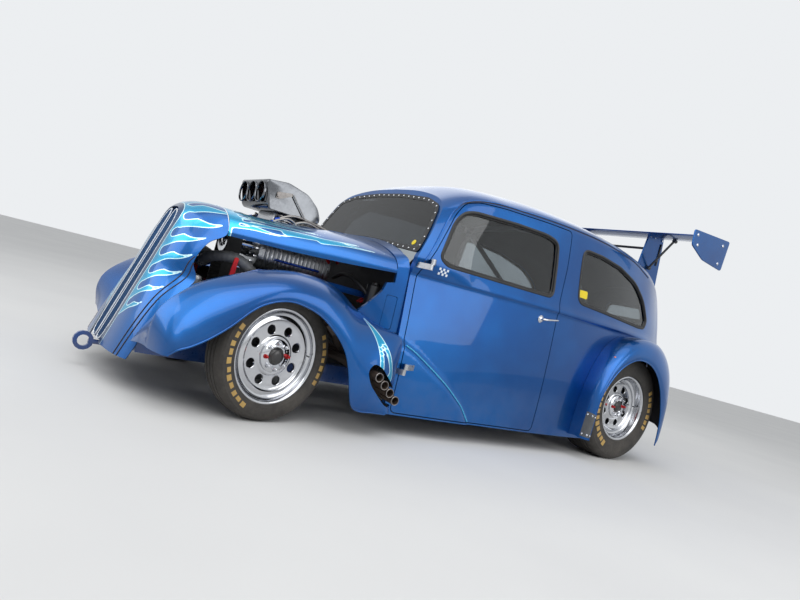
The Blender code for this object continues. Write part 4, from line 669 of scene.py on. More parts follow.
def cabinSkin(ys, rows):
    # Sections run smoothly along the car and points up each section; the skin swells below the swage line
    sections = curve(list(cabinTable), np.array(list(cabinTable.values())), ys)
    points = curve(range(12), sections.transpose(1, 0, 2), rows, True).transpose(1, 0, 2)
    grid = np.zeros((len(ys), len(rows), 3))
    grid[:, :, (0, 2)] = points
    grid[:, :, 1] = np.array(ys)[:, None]
    line = np.interp(ys, *zip(*swageLine), right=0.0)[:, None]
    below = np.clip((line - grid[:, :, 2]) / 0.05 + 0.5, 0, 1)
    grid[:, :, 0] += cabin["swageStep"] * below * below * (3 - 2 * below)
    return grid


def screenLine(z):
    # Distance back of the windscreen plane at a height
    return screenSettings["foot"] + screenSettings["lean"] * (z - screenSettings["footHeight"])


def wallOffset(grid, depth, passes=60):
    # Half sections moved inwards, square to the skin within each section
    along = np.gradient(grid, axis=1)
    normal = np.stack([along[:, :, 2], np.zeros(grid.shape[:2]), -along[:, :, 0]], axis=2)
    normal /= np.linalg.norm(normal, axis=2, keepdims=True)
    for _ in range(passes):
        padded = np.concatenate([normal[:, :1], normal, normal[:, -1:]], axis=1)
        normal = (padded[:, :-2] + padded[:, 1:-1] + padded[:, 2:]) / 3
    normal /= np.linalg.norm(normal, axis=2, keepdims=True)
    return grid - normal * depth


def onSkin(outline, out=0.0):
    # Points of a side view outline laid on the cabin's left skin
    outline = np.array(outline)
    rows = np.linspace(0, 8.6, 140)
    columns = cabinSkin(outline[:, 0], rows)
    across = [np.interp(z, column[:, 2], column[:, 0]) for z, column in zip(outline[:, 1], columns)]
    return np.column_stack([np.array(across) + out, outline])


def wholeGrid(half):
    # Left half of a skin with its mirror image, joined along the middle
    return np.concatenate([half, half[:, -2::-1] * mirrorX], axis=1)


def growOutline(outline, amount):
    # Outline moved outwards, or inwards when negative
    points = np.array(outline)
    ahead = np.roll(points, -1, axis=0) - points
    back = points - np.roll(points, 1, axis=0)
    tangent = ahead / np.linalg.norm(ahead, axis=1)[:, None] + back / np.linalg.norm(back, axis=1)[:, None]
    normal = np.stack([tangent[:, 1], -tangent[:, 0]], axis=1)
    normal /= np.linalg.norm(normal, axis=1)[:, None]
    if (normal * (points - points.mean(axis=0))).sum() < 0:
        normal = -normal
    return points + normal * amount


def slantFront():
    # Everything ahead of the windscreen plane
    return prismShape([(.3, .88), (screenLine(.88), .88), (screenLine(1.5), 1.5), (.3, 1.5)], 0, -.8, .8)


sideStations = np.linspace(cabin["start"], cabin["split"], 180)
hull = cabinSkin(sideStations, sideRows)
hullInner = wallOffset(hull, cabin["wall"])
for name, turn in bothSides:
    flip = np.array((turn, 1, 1))
    side = newPanel(f"bodySide.{name}", shellShape(hull * flip, hullInner * flip), f"body_side_{name}")
    arch = [(wheelBase + cabin["archRadius"] * math.cos(a),
             cabin["archHeight"] + cabin["archRadius"] * math.sin(a))
            for a in np.linspace(0, 2 * math.pi, 96, endpoint=False)]
    carve(side, [prismShape(growOutline(doorOutline, cabin["doorGap"]), 0, .3 * turn, .9 * turn),
                 prismShape(quarterWindow, 0, .3 * turn, .9 * turn),
                 prismShape(arch, 0, .3 * turn, .9 * turn), slantFront()])
    skin = cabinSkin(np.linspace(.680, 1.750, 96), np.append(sideRows[sideRows < 8.0], 8.1))
    door = newPanel(f"door.{name}", shellShape(skin * flip, wallOffset(skin, cabin["wall"]) * flip),
                    f"door_{name}", f"door_{name}")
    carve(door, [frameTool(doorOutline, 0, .3 * turn, .9 * turn)])
    carve(door, [prismShape(doorWindow, 0, .3 * turn, .9 * turn)])
    for label, outline, ys, rows, body, stands in (
            ("doorGlass", doorWindow, (.75, 1.70), (4.7, 7.3), f"door_{name}", f"door_glass_{name}"),
            ("quarterGlass", quarterWindow, (1.84, 2.80), (4.8, 7.4), "chassis", f"quarter_glass_{name}")):
        pane = cabinSkin(np.linspace(*ys, 60), np.linspace(*rows, 30)) - np.array((cabin["glassDepth"], 0, 0))
        sheet = shellShape(pane * flip, (pane - np.array((.004, 0, 0))) * flip)[:2]
        glass = newPiece(f"{label}.{name}", *sheet, looks["pane"], body, "glazing", [stands])
        carve(glass, [frameTool(growOutline(outline, -.0006), 0, .3 * turn, .9 * turn)])
        ring = onSkin(resample(outline, .008, True), -.003) * flip
        newPiece(f"{label}Seal.{name}", *tubeShape(ring, .0085, 10, True), looks["rubber"], body, "glazing")
        inner = onSkin(resample(growOutline(outline, -.012), .010, True), -.0085) * flip
        newPiece(f"{label}Border.{name}", *tubeShape(inner, .009, 8, True, 0.5), looks["rubber"], body,
                 "glazing")
print("cabin sides and doors made")

roofRows = np.linspace(cabin["roofRow"], 11, 26)
half = cabinSkin(sideStations, roofRows)
roofWall = shellShape(wholeGrid(half), wholeGrid(wallOffset(half, cabin["wall"], 2)))
roof = newPanel("roofSkin", roofWall, "roof")
carve(roof, [slantFront()])


def closedLoops(ys, depth=0.0):
    # Whole loops of the cabin section with a flat underside, drawn in towards the middle by a depth
    rows = np.concatenate([sideRows, roofRows[1:]])
    half = cabinSkin(np.asarray(ys), rows)
    half[:, -1, 0] = 0
    mirror = half[:, -2::-1] * mirrorX
    t = np.linspace(0, 1, 8)[1:-1, None]
    under = mirror[:, -1:] * (1 - t) + half[:, :1] * t
    loops = np.concatenate([half, mirror, under], axis=1)
    spoke = loops - np.array((0, 0, cabin["tailCentre"]))
    spoke[:, :, 1] = 0
    return loops - spoke * depth / np.linalg.norm(spoke, axis=2, keepdims=True)


def cappedLoops(ys, depth, end):
    # Loops through the tail, then drawn in along a superellipse to close it
    loops = closedLoops(ys, depth)
    last = loops[-1]
    angle = np.linspace(0, math.pi / 2, 18)[1:]
    scale = np.cos(angle) ** 0.8
    scale[-1] = 0.0
    back = cabin["tailBulge"] * np.sin(angle) ** 0.8
    cap = np.zeros((len(angle),) + last.shape)
    cap[:, :, 0] = last[None, :, 0] * scale[:, None]
    cap[:, :, 2] = cabin["tailCentre"] + (last[None, :, 2] - cabin["tailCentre"]) * scale[:, None]
    cap[:, :, 1] = end + back[:, None] - depth
    return np.concatenate([loops, cap])


def cupShape(outer, inner):
    # Wall between two runs of loops, open at the first
    nu, nv = outer.shape[:2]
    count = nu * nv
    k = np.arange(nv)
    quads = gridFaces(nu, nv, False, True)
    rim = np.stack([k, (k + 1) % nv, count + (k + 1) % nv, count + k], axis=-1)
    faces = np.concatenate([quads, quads[:, ::-1] + count, rim])
    marks = np.concatenate([np.zeros(len(quads)), np.ones(len(quads)), np.zeros(len(rim))])
    return np.concatenate([outer.reshape(-1, 3), inner.reshape(-1, 3)]), faces, marks


tailStations = np.linspace(cabin["split"], cabin["tailEnd"], 24)
tailOuter = cappedLoops(tailStations, 0.0, cabin["tailEnd"])
tailInner = cappedLoops(np.minimum(tailStations, 3.165), cabin["wall"], cabin["tailEnd"] - .002)
tailInner[:24, :, 1] = np.linspace(cabin["split"], 3.160, 24)[:, None]
tailWall = cupShape(tailOuter, tailInner)
tail = newPanel("tailShell", tailWall, "tail_shell", sharp=40)
carve(tail, [prismShape(growOutline(bootOutline, cabin["doorGap"]), 1, 3.10, 3.4),
             prismShape(rearWindow, 1, 3.06, 3.4)])
lid = newPanel("bootLid", tailWall, "boot_lid", "boot_lid", sharp=40)
carve(lid, [frameTool(bootOutline, 1, 3.10, 3.4),
            prismShape([(-2, -2), (2, -2), (2, 3), (-2, 3)], 1, 2.8, 3.14),
            prismShape([(-2, 1.0), (2, 1.0), (2, 3), (-2, 3)], 1, 2.7, 3.5)])


def tailDepth(x, z):
    # How far back the closed tail lies behind any point across it, from the superellipse that closes it
    last = closedLoops([cabin["tailEnd"]])[0]
    across, up = last[:, 0], last[:, 2] - cabin["tailCentre"]
    order = np.argsort(np.arctan2(up, across))
    angle = np.arctan2(up, across)[order]
    share = np.hypot(x, z - cabin["tailCentre"]) / np.interp(np.arctan2(z - cabin["tailCentre"], x), angle,
                                                          np.hypot(across, up)[order])
    return cabin["tailEnd"] + cabin["tailBulge"] * np.sin(np.arccos(np.clip(share, 0, 1) ** 1.25)) ** .8


def onTail(outline, out=0.0):
    outline = np.asarray(outline)
    return np.column_stack([outline[:, 0], tailDepth(outline[:, 0], outline[:, 1]) + out, outline[:, 1]])


across, up = np.meshgrid(np.linspace(-.205, .205, 40), np.linspace(.965, 1.118, 18), indexing="ij")
sheet = onTail(np.column_stack([across.ravel(), up.ravel()]), -.012).reshape(40, 18, 3)
sheet = shellShape(sheet, sheet - np.array((0, .004, 0)))[:2]
pane = newPiece("rearPane", *sheet, looks["pane"], "chassis", "glazing", ["rear_glass"])
carve(pane, [frameTool(growOutline(rearWindow, -.0006), 1, 3.0, 3.4)])
for label, outline, out, radius in (("rearPaneSeal", rearWindow, -.002, .007),
                                    ("rearPaneBorder", growOutline(rearWindow, -.010), -.0105, .008)):
    newPiece(label, *tubeShape(onTail(resample(outline, .010, True), out), radius, 10, True), looks["rubber"],
             "chassis", "glazing")
knob = knobShape([(-.002, .020), (.004, .020), (.008, .012), (.018, .010), (.024, .012), (.027, .006)],
                 (0, tailDepth(np.array(0), np.array(.43)), .43), 1, 20)
newPiece("bootCatch", *knob, looks["chrome"], "boot_lid", "body")
print("roof and tail made")

# Scuttle, bonnet, nose and wings

scuttleTable = {
    0.42: [(.497, .50), (.507, .60), (.512, .70), (.505, .780), (.485, .825), (.420, .870), (.300, .905),
           (.150, .930), (0, .937)],
    0.58: [(.560, .50), (.560, .60), (.556, .70), (.548, .790), (.530, .835), (.470, .880), (.330, .920),
           (.165, .945), (0, .952)],
    0.70: [(.604, .50), (.596, .60), (.588, .70), (.578, .800), (.568, .850), (.520, .905), (.360, .945),
           (.180, .965), (0, .972)],
}
bonnetTable = {
    -.2077: [(.330, .746), (.330, .768), (.300, .818), (.225, .859), (.115, .877), (0, .882)],
    0.00: [(.395, .750), (.394, .777), (.355, .829), (.260, .867), (.130, .884), (0, .890)],
    0.30: [(.472, .765), (.470, .797), (.425, .851), (.310, .894), (.155, .916), (0, .923)],
    .5850: [(.551, .788), (.548, .808), (.500, .862), (.360, .913), (.180, .943), (0, .952)],
}
noseTable = [((.112, .140), (.385, -.512, .135)), ((.112, .270), (.385, -.455, .280)),
             ((.112, .400), (.372, -.390, .410)), ((.112, .520), (.348, -.305, .515)),
             ((.112, .610), (.338, -.327, .595)), ((.112, .690), (.333, -.285, .690)),
             ((.110, .755), (.330, -.213, .748)), ((.100, .795), (.300, -.213, .817)),
             ((.075, .815), (.225, -.213, .859)), ((.040, .824), (.115, -.213, .877)),
             ((0, .826), (0, -.213, .882))]
bonnetHole = roundCorners([(-.205, -.110), (-.205, .455), (.205, .455), (.205, -.110)], .03)


def loftAcross(table, ys, rows):
    # Skin across the car through half sections (x, z) given by their distance back
    sections = curve(list(table), np.array(list(table.values())), ys)
    index = np.linspace(0, sections.shape[1] - 1, rows)
    points = curve(range(sections.shape[1]), sections.transpose(1, 0, 2), index).transpose(1, 0, 2)
    half = np.zeros((len(ys), rows, 3))
    half[:, :, (0, 2)] = points
    half[:, :, 1] = np.asarray(ys)[:, None]
    return wholeGrid(half)


scuttleSkin = loftAcross(scuttleTable, np.linspace(.42, .69, 40), 60)
scuttle = newPanel("scuttlePanel", thickened(scuttleSkin, .016, (0, .55, .5)), "scuttle")
bonnetEnd = 0.5880
slant = [(.30, .40), (.425, .40), (.443, .559), (.494, .625), (.536, .686), (.548, .730), (bonnetEnd, .7400),
         (bonnetEnd, 1.1), (.30, 1.1)]
screenGap = .0095
behind = [(cabin["start"] - .0006, .3), (cabin["start"] - .0006, .875), (screenLine(.895) - screenGap, .895),
          (screenLine(1.2) - screenGap, 1.2), (.9, 1.2), (.9, .3)]
ventOutline = roundCorners([(.562, .672), (.616, .672), (.616, .508), (.562, .508)], .008)
carve(scuttle, [prismShape(slant, 0, -.8, .8), prismShape(behind, 0, -.8, .8)]
      + [prismShape(growOutline(ventOutline, .0015), 0, *spanOf(turn, .4, .8)) for turn in (1, -1)])

bonnetSkin = loftAcross(bonnetTable, np.linspace(-.2077, .5850, 130), 46)
bonnet = newPanel("bonnetPanel", thickened(bonnetSkin, .005, (0, .2, .5)), "bonnet", look=flamePaintLook)
carve(bonnet, [prismShape(bonnetHole, 2, .7, 1.1)])
at = pointsOf(bonnet)
lower = curve(list(bonnetTable), np.array([rows[0] for rows in bonnetTable.values()]), at[:, 1])
alongLength = at[:, 1] + .2077
upSide = (lower[:, 0] - abs(at[:, 0])) + (at[:, 2] - lower[:, 1])
bonnetFlames = {
    "base": 0.010,
    "licks": [(0, .075, .26, .014, .026, .012), (0, .130, .42, .022, .030, -.014),
              (0, .190, .56, .030, .030, .016), (0, .255, .50, .010, .032, -.016),
              (0, .320, .40, .000, .034, .014), (0, .390, .52, -.010, .036, .012),
              (.26, .120, .46, .050, .026, -.016), (.42, .110, .34, .040, .018, .012)],
    "drops": [(.050, .086, .060, .010, .010, 0), (.070, .138, .090, .012, .012, .004),
              (.060, .196, .110, .004, .014, 0), (.050, .258, .090, 0, .014, 0),
              (.050, .326, .090, 0, .015, 0)]}
newField(bonnet, flameField(alongLength, upSide, bonnetFlames["base"], bonnetFlames["licks"],
                            bonnetFlames["drops"]))


def grilleLine(z):
    # Distance back of the grille plane at a height
    return noseSettings["front"] + noseSettings["lean"] * (z - noseSettings["low"])


rows = np.linspace(0, 10, 100)
edge = curve(range(11), np.array([(f[0], grilleLine(f[1]), f[1]) for f, r in noseTable]), rows)
rear = curve(range(11), np.array([r for f, r in noseTable]), rows)
top = np.clip((rows - 5) / 3, 0, 1)[:, None]
top = top * top * (3 - 2 * top)
lead = (1 - top) * np.array((.80, .10, .50)) + top * np.array((.50, .28, 1.05))
middle = edge + lead * (rear - edge)
run = np.linspace(0, 1, 60)[:, None, None]
noseHalf = (1 - run) ** 2 * edge + 2 * run * (1 - run) * middle + run ** 2 * rear
fromEdge = np.cumsum(np.linalg.norm(np.diff(noseHalf, axis=0, prepend=noseHalf[:1]), axis=2), axis=0)
upEdge = np.cumsum(np.linalg.norm(np.diff(noseHalf, axis=1, prepend=noseHalf[:, :1]), axis=2), axis=1)
upEdge = .14 + upEdge[20][None, :] + 0 * fromEdge
noseFlames = {
    "base": 0.014, "start": .300, "stripe": .034,
    "licks": [(0, .335, .140, .050, .032, .010), (0, .415, .185, .066, .036, .014),
              (0, .500, .205, .074, .038, .016), (0, .590, .215, .070, .040, .016),
              (0, .685, .215, .056, .042, .014), (0, .785, .230, .040, .042, .010),
              (0, .885, .260, .016, .040, .008), (0, .985, .280, .000, .036, .004)],
    "drops": [(.038, .366, .085, .034, .019, .006), (.042, .452, .110, .042, .022, .008),
              (.044, .540, .120, .042, .024, .008), (.046, .633, .125, .036, .026, .008),
              (.046, .733, .130, .028, .027, .006), (.046, .835, .135, .014, .026, .004),
              (.046, .934, .135, .006, .024, .002)]}
fade = .14 * np.clip((noseFlames["start"] - upEdge.ravel()) / .05, 0, 1)
field = flameField(fromEdge.ravel() - noseFlames["stripe"] + fade, upEdge.ravel(), noseFlames["base"],
                   noseFlames["licks"], noseFlames["drops"]).reshape(fromEdge.shape)
noseGrid = wholeGrid(noseHalf)
nose = newPanel("noseShell", thickened(noseGrid, .005, (0, .2, .5)), "nose_shell", look=flamePaintLook)
for label, values in (("lickDistance", field), ("stripeDepth", 1 + noseFlames["stripe"] - fromEdge)):
    values = np.concatenate([values, values[:, -2::-1]], axis=1).ravel()
    newField(nose, np.concatenate([values, values]), label)

frontWingRows = [
    ((.715, -.452, .232), (.580, -.495, .228), (.388, -.512, .215)),
    ((.735, -.425, .262), (.600, -.508, .320), (.390, -.470, .300)),
    ((.740, -.375, .288), (.602, -.490, .395), (.382, -.425, .370)),
    ((.741, -.315, .330), (.600, -.435, .462), (.368, -.370, .435)),
    ((.742, -.250, .388), (.598, -.350, .528), (.356, -.297, .505)),
    ((.742, -.175, .470), (.592, -.225, .592), (.365, -.200, .545)),
    ((.742, -.115, .512), (.588, -.110, .636), (.375, -.100, .570)),
    ((.742, -.045, .536), (.588, -.010, .660), (.385, .000, .580)),
    ((.742, .025, .537), (.590, .085, .667), (.395, .080, .580)),
    ((.742, .125, .511), (.594, .180, .660), (.410, .180, .570)),
    ((.742, .215, .455), (.600, .275, .630), (.430, .280, .550)),
    ((.742, .290, .383), (.615, .360, .575), (.470, .370, .530)),
    ((.742, .335, .300), (.640, .440, .535), (.511, .440, .520)),
    ((.742, .365, .215), (.652, .540, .508), (.552, .545, .500)),
    ((.742, .395, .145), (.664, .638, .475), (.590, .638, .465)),
    ((.740, .440, .122), (.680, .638, .330), (.602, .638, .330)),
    ((.735, .520, .122), (.690, .638, .220), (.612, .638, .220)),
    ((.728, .600, .120), (.700, .638, .130), (.622, .638, .122)),
]
rearWingRows = [
    ((.765, 2.125, .130), (.715, 2.085, .130), (.640, 2.070, .130)),
    ((.770, 2.125, .260), (.722, 2.088, .270), (.635, 2.074, .270)),
    ((.772, 2.135, .400), (.725, 2.105, .420), (.630, 2.092, .400)),
    ((.774, 2.185, .510), (.725, 2.155, .560), (.622, 2.128, .520)),
    ((.775, 2.250, .595), (.725, 2.225, .665), (.615, 2.180, .620)),
    ((.776, 2.335, .655), (.725, 2.315, .745), (.605, 2.262, .720)),
    ((.776, 2.430, .684), (.722, 2.430, .800), (.585, 2.400, .800)),
    ((.775, 2.550, .672), (.715, 2.570, .822), (.560, 2.560, .815)),
    ((.772, 2.655, .618), (.705, 2.710, .805), (.540, 2.700, .810)),
    ((.768, 2.740, .530), (.695, 2.830, .745), (.505, 2.830, .780)),
    ((.764, 2.800, .425), (.685, 2.915, .655), (.475, 2.930, .690)),
    ((.760, 2.840, .320), (.675, 2.960, .530), (.455, 2.985, .560)),
    ((.755, 2.860, .220), (.665, 2.975, .400), (.440, 3.000, .420)),
    ((.750, 2.870, .150), (.660, 2.970, .280), (.430, 3.000, .290)),
]


def wingGrid(table, steps, across):
    # Two parabolic arcs at each step: lip over the corner to the crown, then crown over the ridge to the root
    table = np.array(table)
    fine = curve(range(len(table)), table, np.linspace(0, len(table) - 1, steps))
    lip, crown, root = fine[:, 0], fine[:, 1], fine[:, 2]
    corner = np.stack([lip[:, 0] + .012, .45 * lip[:, 1] + .55 * crown[:, 1],
                       .25 * lip[:, 2] + .75 * crown[:, 2]], axis=1)
    ridge = (crown + (root - crown) * .30) + np.array((0, 0, .012))
    t = np.linspace(0, 1, across)[None, :, None]
    first = (1 - t) ** 2 * lip[:, None] + 2 * t * (1 - t) * corner[:, None] + t * t * crown[:, None]
    t = np.linspace(0, 1, across // 2 + 1)[None, 1:, None]
    second = (1 - t) ** 2 * crown[:, None] + 2 * t * (1 - t) * ridge[:, None] + t * t * root[:, None]
    return np.concatenate([first, second], axis=1)


wingSettings = {"steps": 190, "across": 26, "depth": 0.005, "lipRadius": 0.0045}
portOutline = roundCorners([(.440, .310), (.470, .350), (.520, .335), (.640, .245), (.660, .190),
                            (.630, .150), (.580, .160), (.470, .250)], .03)
wingFlames = {"tongue": [(.400, .535), (.525, .450), (.556, .300), (.003, .047, 1.1)],
              "bay": [(.5015, .434), (.537, .378), (.554, .318), (.0060, .0220, 1.1)]}


def sweptField(at, spec):
    # Distance inside a tapering tongue swept along a bent line seen from the side
    t = np.linspace(0, 1, 60)[:, None]
    first, middle, last = (np.array(point) for point in spec[:3])
    line = (1 - t) ** 2 * first + 2 * t * (1 - t) * middle + t ** 2 * last
    thin, thick, power = spec[3]
    radius = thin + (thick - thin) * t[:, 0] ** power
    return (radius - np.linalg.norm(at[:, None, 1:] - line[None], axis=2)).max(axis=1)


cabinTrim = loopsShape(closedLoops(np.linspace(1.8, 3.2, 40), -.0012))
frontWing = wingGrid(frontWingRows, wingSettings["steps"], wingSettings["across"])
rearWing = wingGrid(rearWingRows, 120, 24)
for name, turn in bothSides:
    flip = np.array((turn, 1, 1))
    shape = thickened(frontWing * flip, wingSettings["depth"], (.45 * turn, .05, .2))
    wing = newPanel(f"frontWing.{name}", shape, f"front_wing_{name}", look=flamePaintLook)
    carve(wing, [prismShape(portOutline, 0, *spanOf(turn, .60, .90))])
    at = pointsOf(wing)
    newField(wing, np.minimum(sweptField(at, wingFlames["tongue"]), -sweptField(at, wingFlames["bay"])))
    newPiece(f"frontWingLip.{name}", *tubeShape(frontWing[:, 0] * flip, wingSettings["lipRadius"], 10),
             paintLook, "chassis", "body")
    shape = thickened(rearWing * flip, wingSettings["depth"], (.45 * turn, wheelBase, .2))
    rearArch = newPanel(f"rearWing.{name}", shape, f"rear_wing_{name}")
    carve(rearArch, [cabinTrim])
    newPiece(f"rearWingLip.{name}", *tubeShape(rearWing[:, 0] * flip, wingSettings["lipRadius"], 10),
             paintLook, "chassis", "body")
print("bonnet, nose and wings made")

# Windscreen, its border and screws

slope = np.array((0, screenSettings["lean"], 1)) / math.hypot(screenSettings["lean"], 1)
outward = np.array((0, -slope[2], slope[1]))
screenSide = [(.583, .0), (.574, .090), (.550, .190), (.526, .268), (.500, .305), (.380, .347), (.120, .370)]
screenOutline = roundCorners([(-x, up) for x, up in screenSide] + screenSide[::-1]
                             + [(.30, .022), (0, .034), (-.30, .022)], .03, 6)


def onScreen(outline, out):
    outline = np.asarray(outline)
    foot = np.array((0, screenLine(screenSettings["low"]) - .0006, screenSettings["low"]))
    return foot + outline[:, :1] * np.array((1, 0, 0)) + outline[:, 1:] * slope + outward * out


def bandShape(place, outline, width, low, high):
    # Flat band inside an outline, between two heights above a surface given by a function
    outline = resample(outline, .008, True)
    inset = growOutline(outline, -width)
    loops = np.stack([place(outline, low), place(outline, high), place(inset, high), place(inset, low)])
    return ringShape(loops)


screenPane = loopsShape([onScreen(screenOutline, 0), onScreen(screenOutline, screenSettings["pane"])])
newPiece("screenPane", *screenPane, looks["screen"], "chassis", "glazing", ["windscreen"])
border = bandShape(onScreen, screenOutline, screenSettings["border"], .0052, .0066)
newPiece("screenBorder", *border, looks["rubber"], "chassis", "glazing")
spots = onScreen(resample(growOutline(screenOutline, -.012), .052, True), .0066)
screw = knobShape([(-.0012, .0048), (.0012, .0048), (.0026, .0030), (.0030, .0004)], (0, 0, 0), 1, 10)
screwTurn = np.array(Matrix.Rotation(-math.atan(screenSettings["lean"]), 3, "X"))
shapes = [((screw[0] * (1, -1, 1)) @ screwTurn.T + spot, screw[1]) for spot in spots]
addParts("screenScrews", shapes, "chrome", "glazing")
dot = (screw[0] * (3.2, -.6, 3.2)) @ screwTurn.T + onScreen(np.array([(.505, .055)]), .0066)[0]
newPiece("screenSpot", dot, screw[1], looks["yellow"], "chassis", "glazing")

# Gutter, handles and hinges on both sides

detailSettings = {"gutterRadius": 0.0042, "handle": 0.007, "hingeHeights": (.337, .870)}
gutterLine = smoothPath([(.700, .885), (.735, .960), (.790, 1.100), (.850, 1.200), (.930, 1.262),
                         (1.10, 1.305), (1.40, 1.330), (1.75, 1.345), (2.10, 1.345), (2.45, 1.318),
                         (2.70, 1.262)], .012)
for name, turn in bothSides:
    flip = np.array((turn, 1, 1))
    newPiece(f"gutter.{name}", *tubeShape(onSkin(gutterLine, .002) * flip, detailSettings["gutterRadius"], 8),
             paintLook, "chassis", "body")
    # Dark brown tube just under the gutter: painted shadow of the gutter on the skin
    shadow = tubeShape(onSkin(gutterLine - np.array((0, .0062)), -.0005) * flip, .0028, 8)
    newPiece(f"gutterShadow.{name}", *shadow, looks["seam"], "chassis", "body")
    seat = onSkin([(1.590, .765)])[0, 0]
    grip = smoothPath([(seat - .012, 1.590, .765), (seat + .020, 1.590, .766), (seat + .033, 1.602, .768),
                       (seat + .035, 1.640, .773), (seat + .032, 1.700, .782), (seat + .022, 1.716, .784)],
                      .004) * flip
    taper = detailSettings["handle"] * (1 - .35 * np.linspace(0, 1, len(grip)))
    rose = knobShape([(seat - .006, .022), (seat + .003, .022), (seat + .007, .016), (seat + .010, .012)],
                     (0, 1.590, .765), 0, 28)
    newPiece(f"doorHandle.{name}", *joinShapes([tubeShape(grip, taper, 14), (rose[0] * flip, rose[1])]),
             looks["chrome"], f"door_{name}", "body")
    leaves = {"chassis": [], f"door_{name}": []}
    for z in detailSettings["hingeHeights"]:
        rootFront = onSkin([(.665, z)])[0, 0] - .012
        rootBack = onSkin([(.760, z)])[0, 0] - .015
        front = [(rootFront, .660), (.673, .688), (.673, .704), (.661, .709), (.655, .702), (.653, .690),
                 (rootFront, .680)]
        rearLeaf = [(rootBack, .742), (.655, .702), (.658, .693), (.668, .691), (.673, .698), (.672, .712),
                    (rootBack + .016, .771), (rootBack, .774)]
        for body, outline, low in (("chassis", front, z - .02815), (f"door_{name}", rearLeaf, z + .00015)):
            shape = prismShape(roundCorners(outline, .003, 3), 2, low, low + .028)
            leaves[body].append((shape[0] * flip, shape[1]))
    for body, shapes in leaves.items():
        newPiece(f"hingeLeaf.{name}.{'door' if body != 'chassis' else 'post'}", *joinShapes(shapes),
                 looks["satin"], body, "body")
print("glass and small trim made")

# Wheels and tyres, drawn about the wheel's own centre with the outside along +X

wheels = {
    "front": {"rim": .050, "tyre": .0725, "radius": .29, "spindle": .057, "grooves": (-.024, 0, .024),
              "groove": .005},
    "rear": {"rim": .120, "tyre": .135, "radius": .35, "spindle": .080, "grooves": (-.070, -.030, .030, .070),
             "groove": .007},
    "rimRadius": .2075, "bead": .208, "holeCircle": .118, "holeRadius": .021, "nutCircle": .057, "sides": 96,
}


def atWheel(name, shape):
    # Turned to the parked steering angle and moved to the wheel's centre
    turn = 1 if name.endswith("left") else -1
    angle = parkedSteer if name.startswith("front") else 0.0
    turned = np.array(Matrix.Rotation(angle, 3, "Z"))
    centre = np.array(joints[f"wheel_{name}_spin"]["pos_m"]) - shift
    return (np.asarray(shape[0]) * np.array((turn, 1, 1))) @ turned.T + centre, shape[1]


def rimProfile(half):
    # Curled flange, deep lip, flat drilled disc, then back along the barrel
    face = half * .45
    outer = wheels["rimRadius"]
    return [(half - .006, outer - .002), (half - .004, outer + .006), (half - .001, outer + .0085),
            (half + .003, outer + .007), (half + .0045, outer + .002), (half + .003, outer - .004),
            (half - .002, outer - .0095), (half - .012, outer - .0125), (face + .026, outer - .0150),
            (face + .016, outer - .0175), (face + .0125, outer - .0215), (face + .0105, outer - .030),
            (face + .0145, .166), (face + .0150, .160), (face + .0080, .153), (face + .0060, .146),
            (face + .0065, .092), (face + .0110, .087), (face + .0125, .083), (face + .0120, .079),
            (face + .0120, .031), (face - .006, .031), (face - .006, .150), (face - .004, .172),
            (face - .006, .184), (-half + .020, outer - .0155), (-half + .004, outer - .0125),
            (-half - .003, outer - .006), (-half - .0045, outer + .002), (-half - .002, outer + .0085),
            (-half + .003, outer + .007), (-half + .006, outer - .002), (-half + .012, outer - .004),
            (half - .012, outer - .004)]


def sideInset(half, wide, share):
    # How far the tyre's side lies inside its full width, from bead to tread
    seat = wide - half + .0115
    inset = curve([0, .06, .18, .34, .52, .70, .84, .93, 1.0],
                  [seat, seat * .45, .006, .001, 0, .003, .009, .018, .032], share)
    return inset - .0014 * np.exp(-((share - .20) / .018) ** 2) - .0012 * np.exp(-((share - .80) / .02) ** 2)


def tyreProfile(spec):
    # Bulged sides, crowned tread with grooves, then the inner surface
    half, wide, tall = spec["rim"], spec["tyre"], spec["radius"]
    share = np.linspace(0, 1, 44)
    inset = sideInset(half, wide, share)
    radii = wheels["bead"] + (tall - .003 - wheels["bead"]) * share
    side = np.column_stack([wide - inset, radii])
    tread = []
    for k in spec["grooves"]:
        g = spec["groove"] / 2
        tread += [(k - g, 0), (k - g + .0008, .006), (k + g - .0008, .006), (k + g, 0)]
    tread = np.array(tread)
    tread = np.column_stack([tread[:, 0], tall - .003 * (tread[:, 0] / wide) ** 2 - tread[:, 1]])
    inner = np.array([(half - .020, wheels["bead"]), (wide - .012, wheels["bead"] + .030),
                      (wide - .012, tall - .035), (wide - .030, tall - .017), (-wide + .030, tall - .017),
                      (-wide + .012, tall - .035), (-wide + .012, wheels["bead"] + .030),
                      (-half + .020, wheels["bead"])])
    return np.concatenate([side * (-1, 1), tread, side[::-1], inner])


def sideDash(spec, start, end, low, high):
    # Raised plain patch on the outer side between two angles and two shares of its height
    angle = np.linspace(start, end, 7)[:, None]
    share = np.linspace(low, high, 5)[None, :]
    out = spec["tyre"] - sideInset(spec["rim"], spec["tyre"], share.ravel())[None, :] + 0 * angle
    radius = wheels["bead"] + (spec["radius"] - .003 - wheels["bead"]) * share
    grid = np.stack([out, radius * np.cos(angle), radius * np.sin(angle)], axis=2)
    return shellShape(grid + np.array((.0007, 0, 0)), grid - np.array((.0008, 0, 0)))[:2]


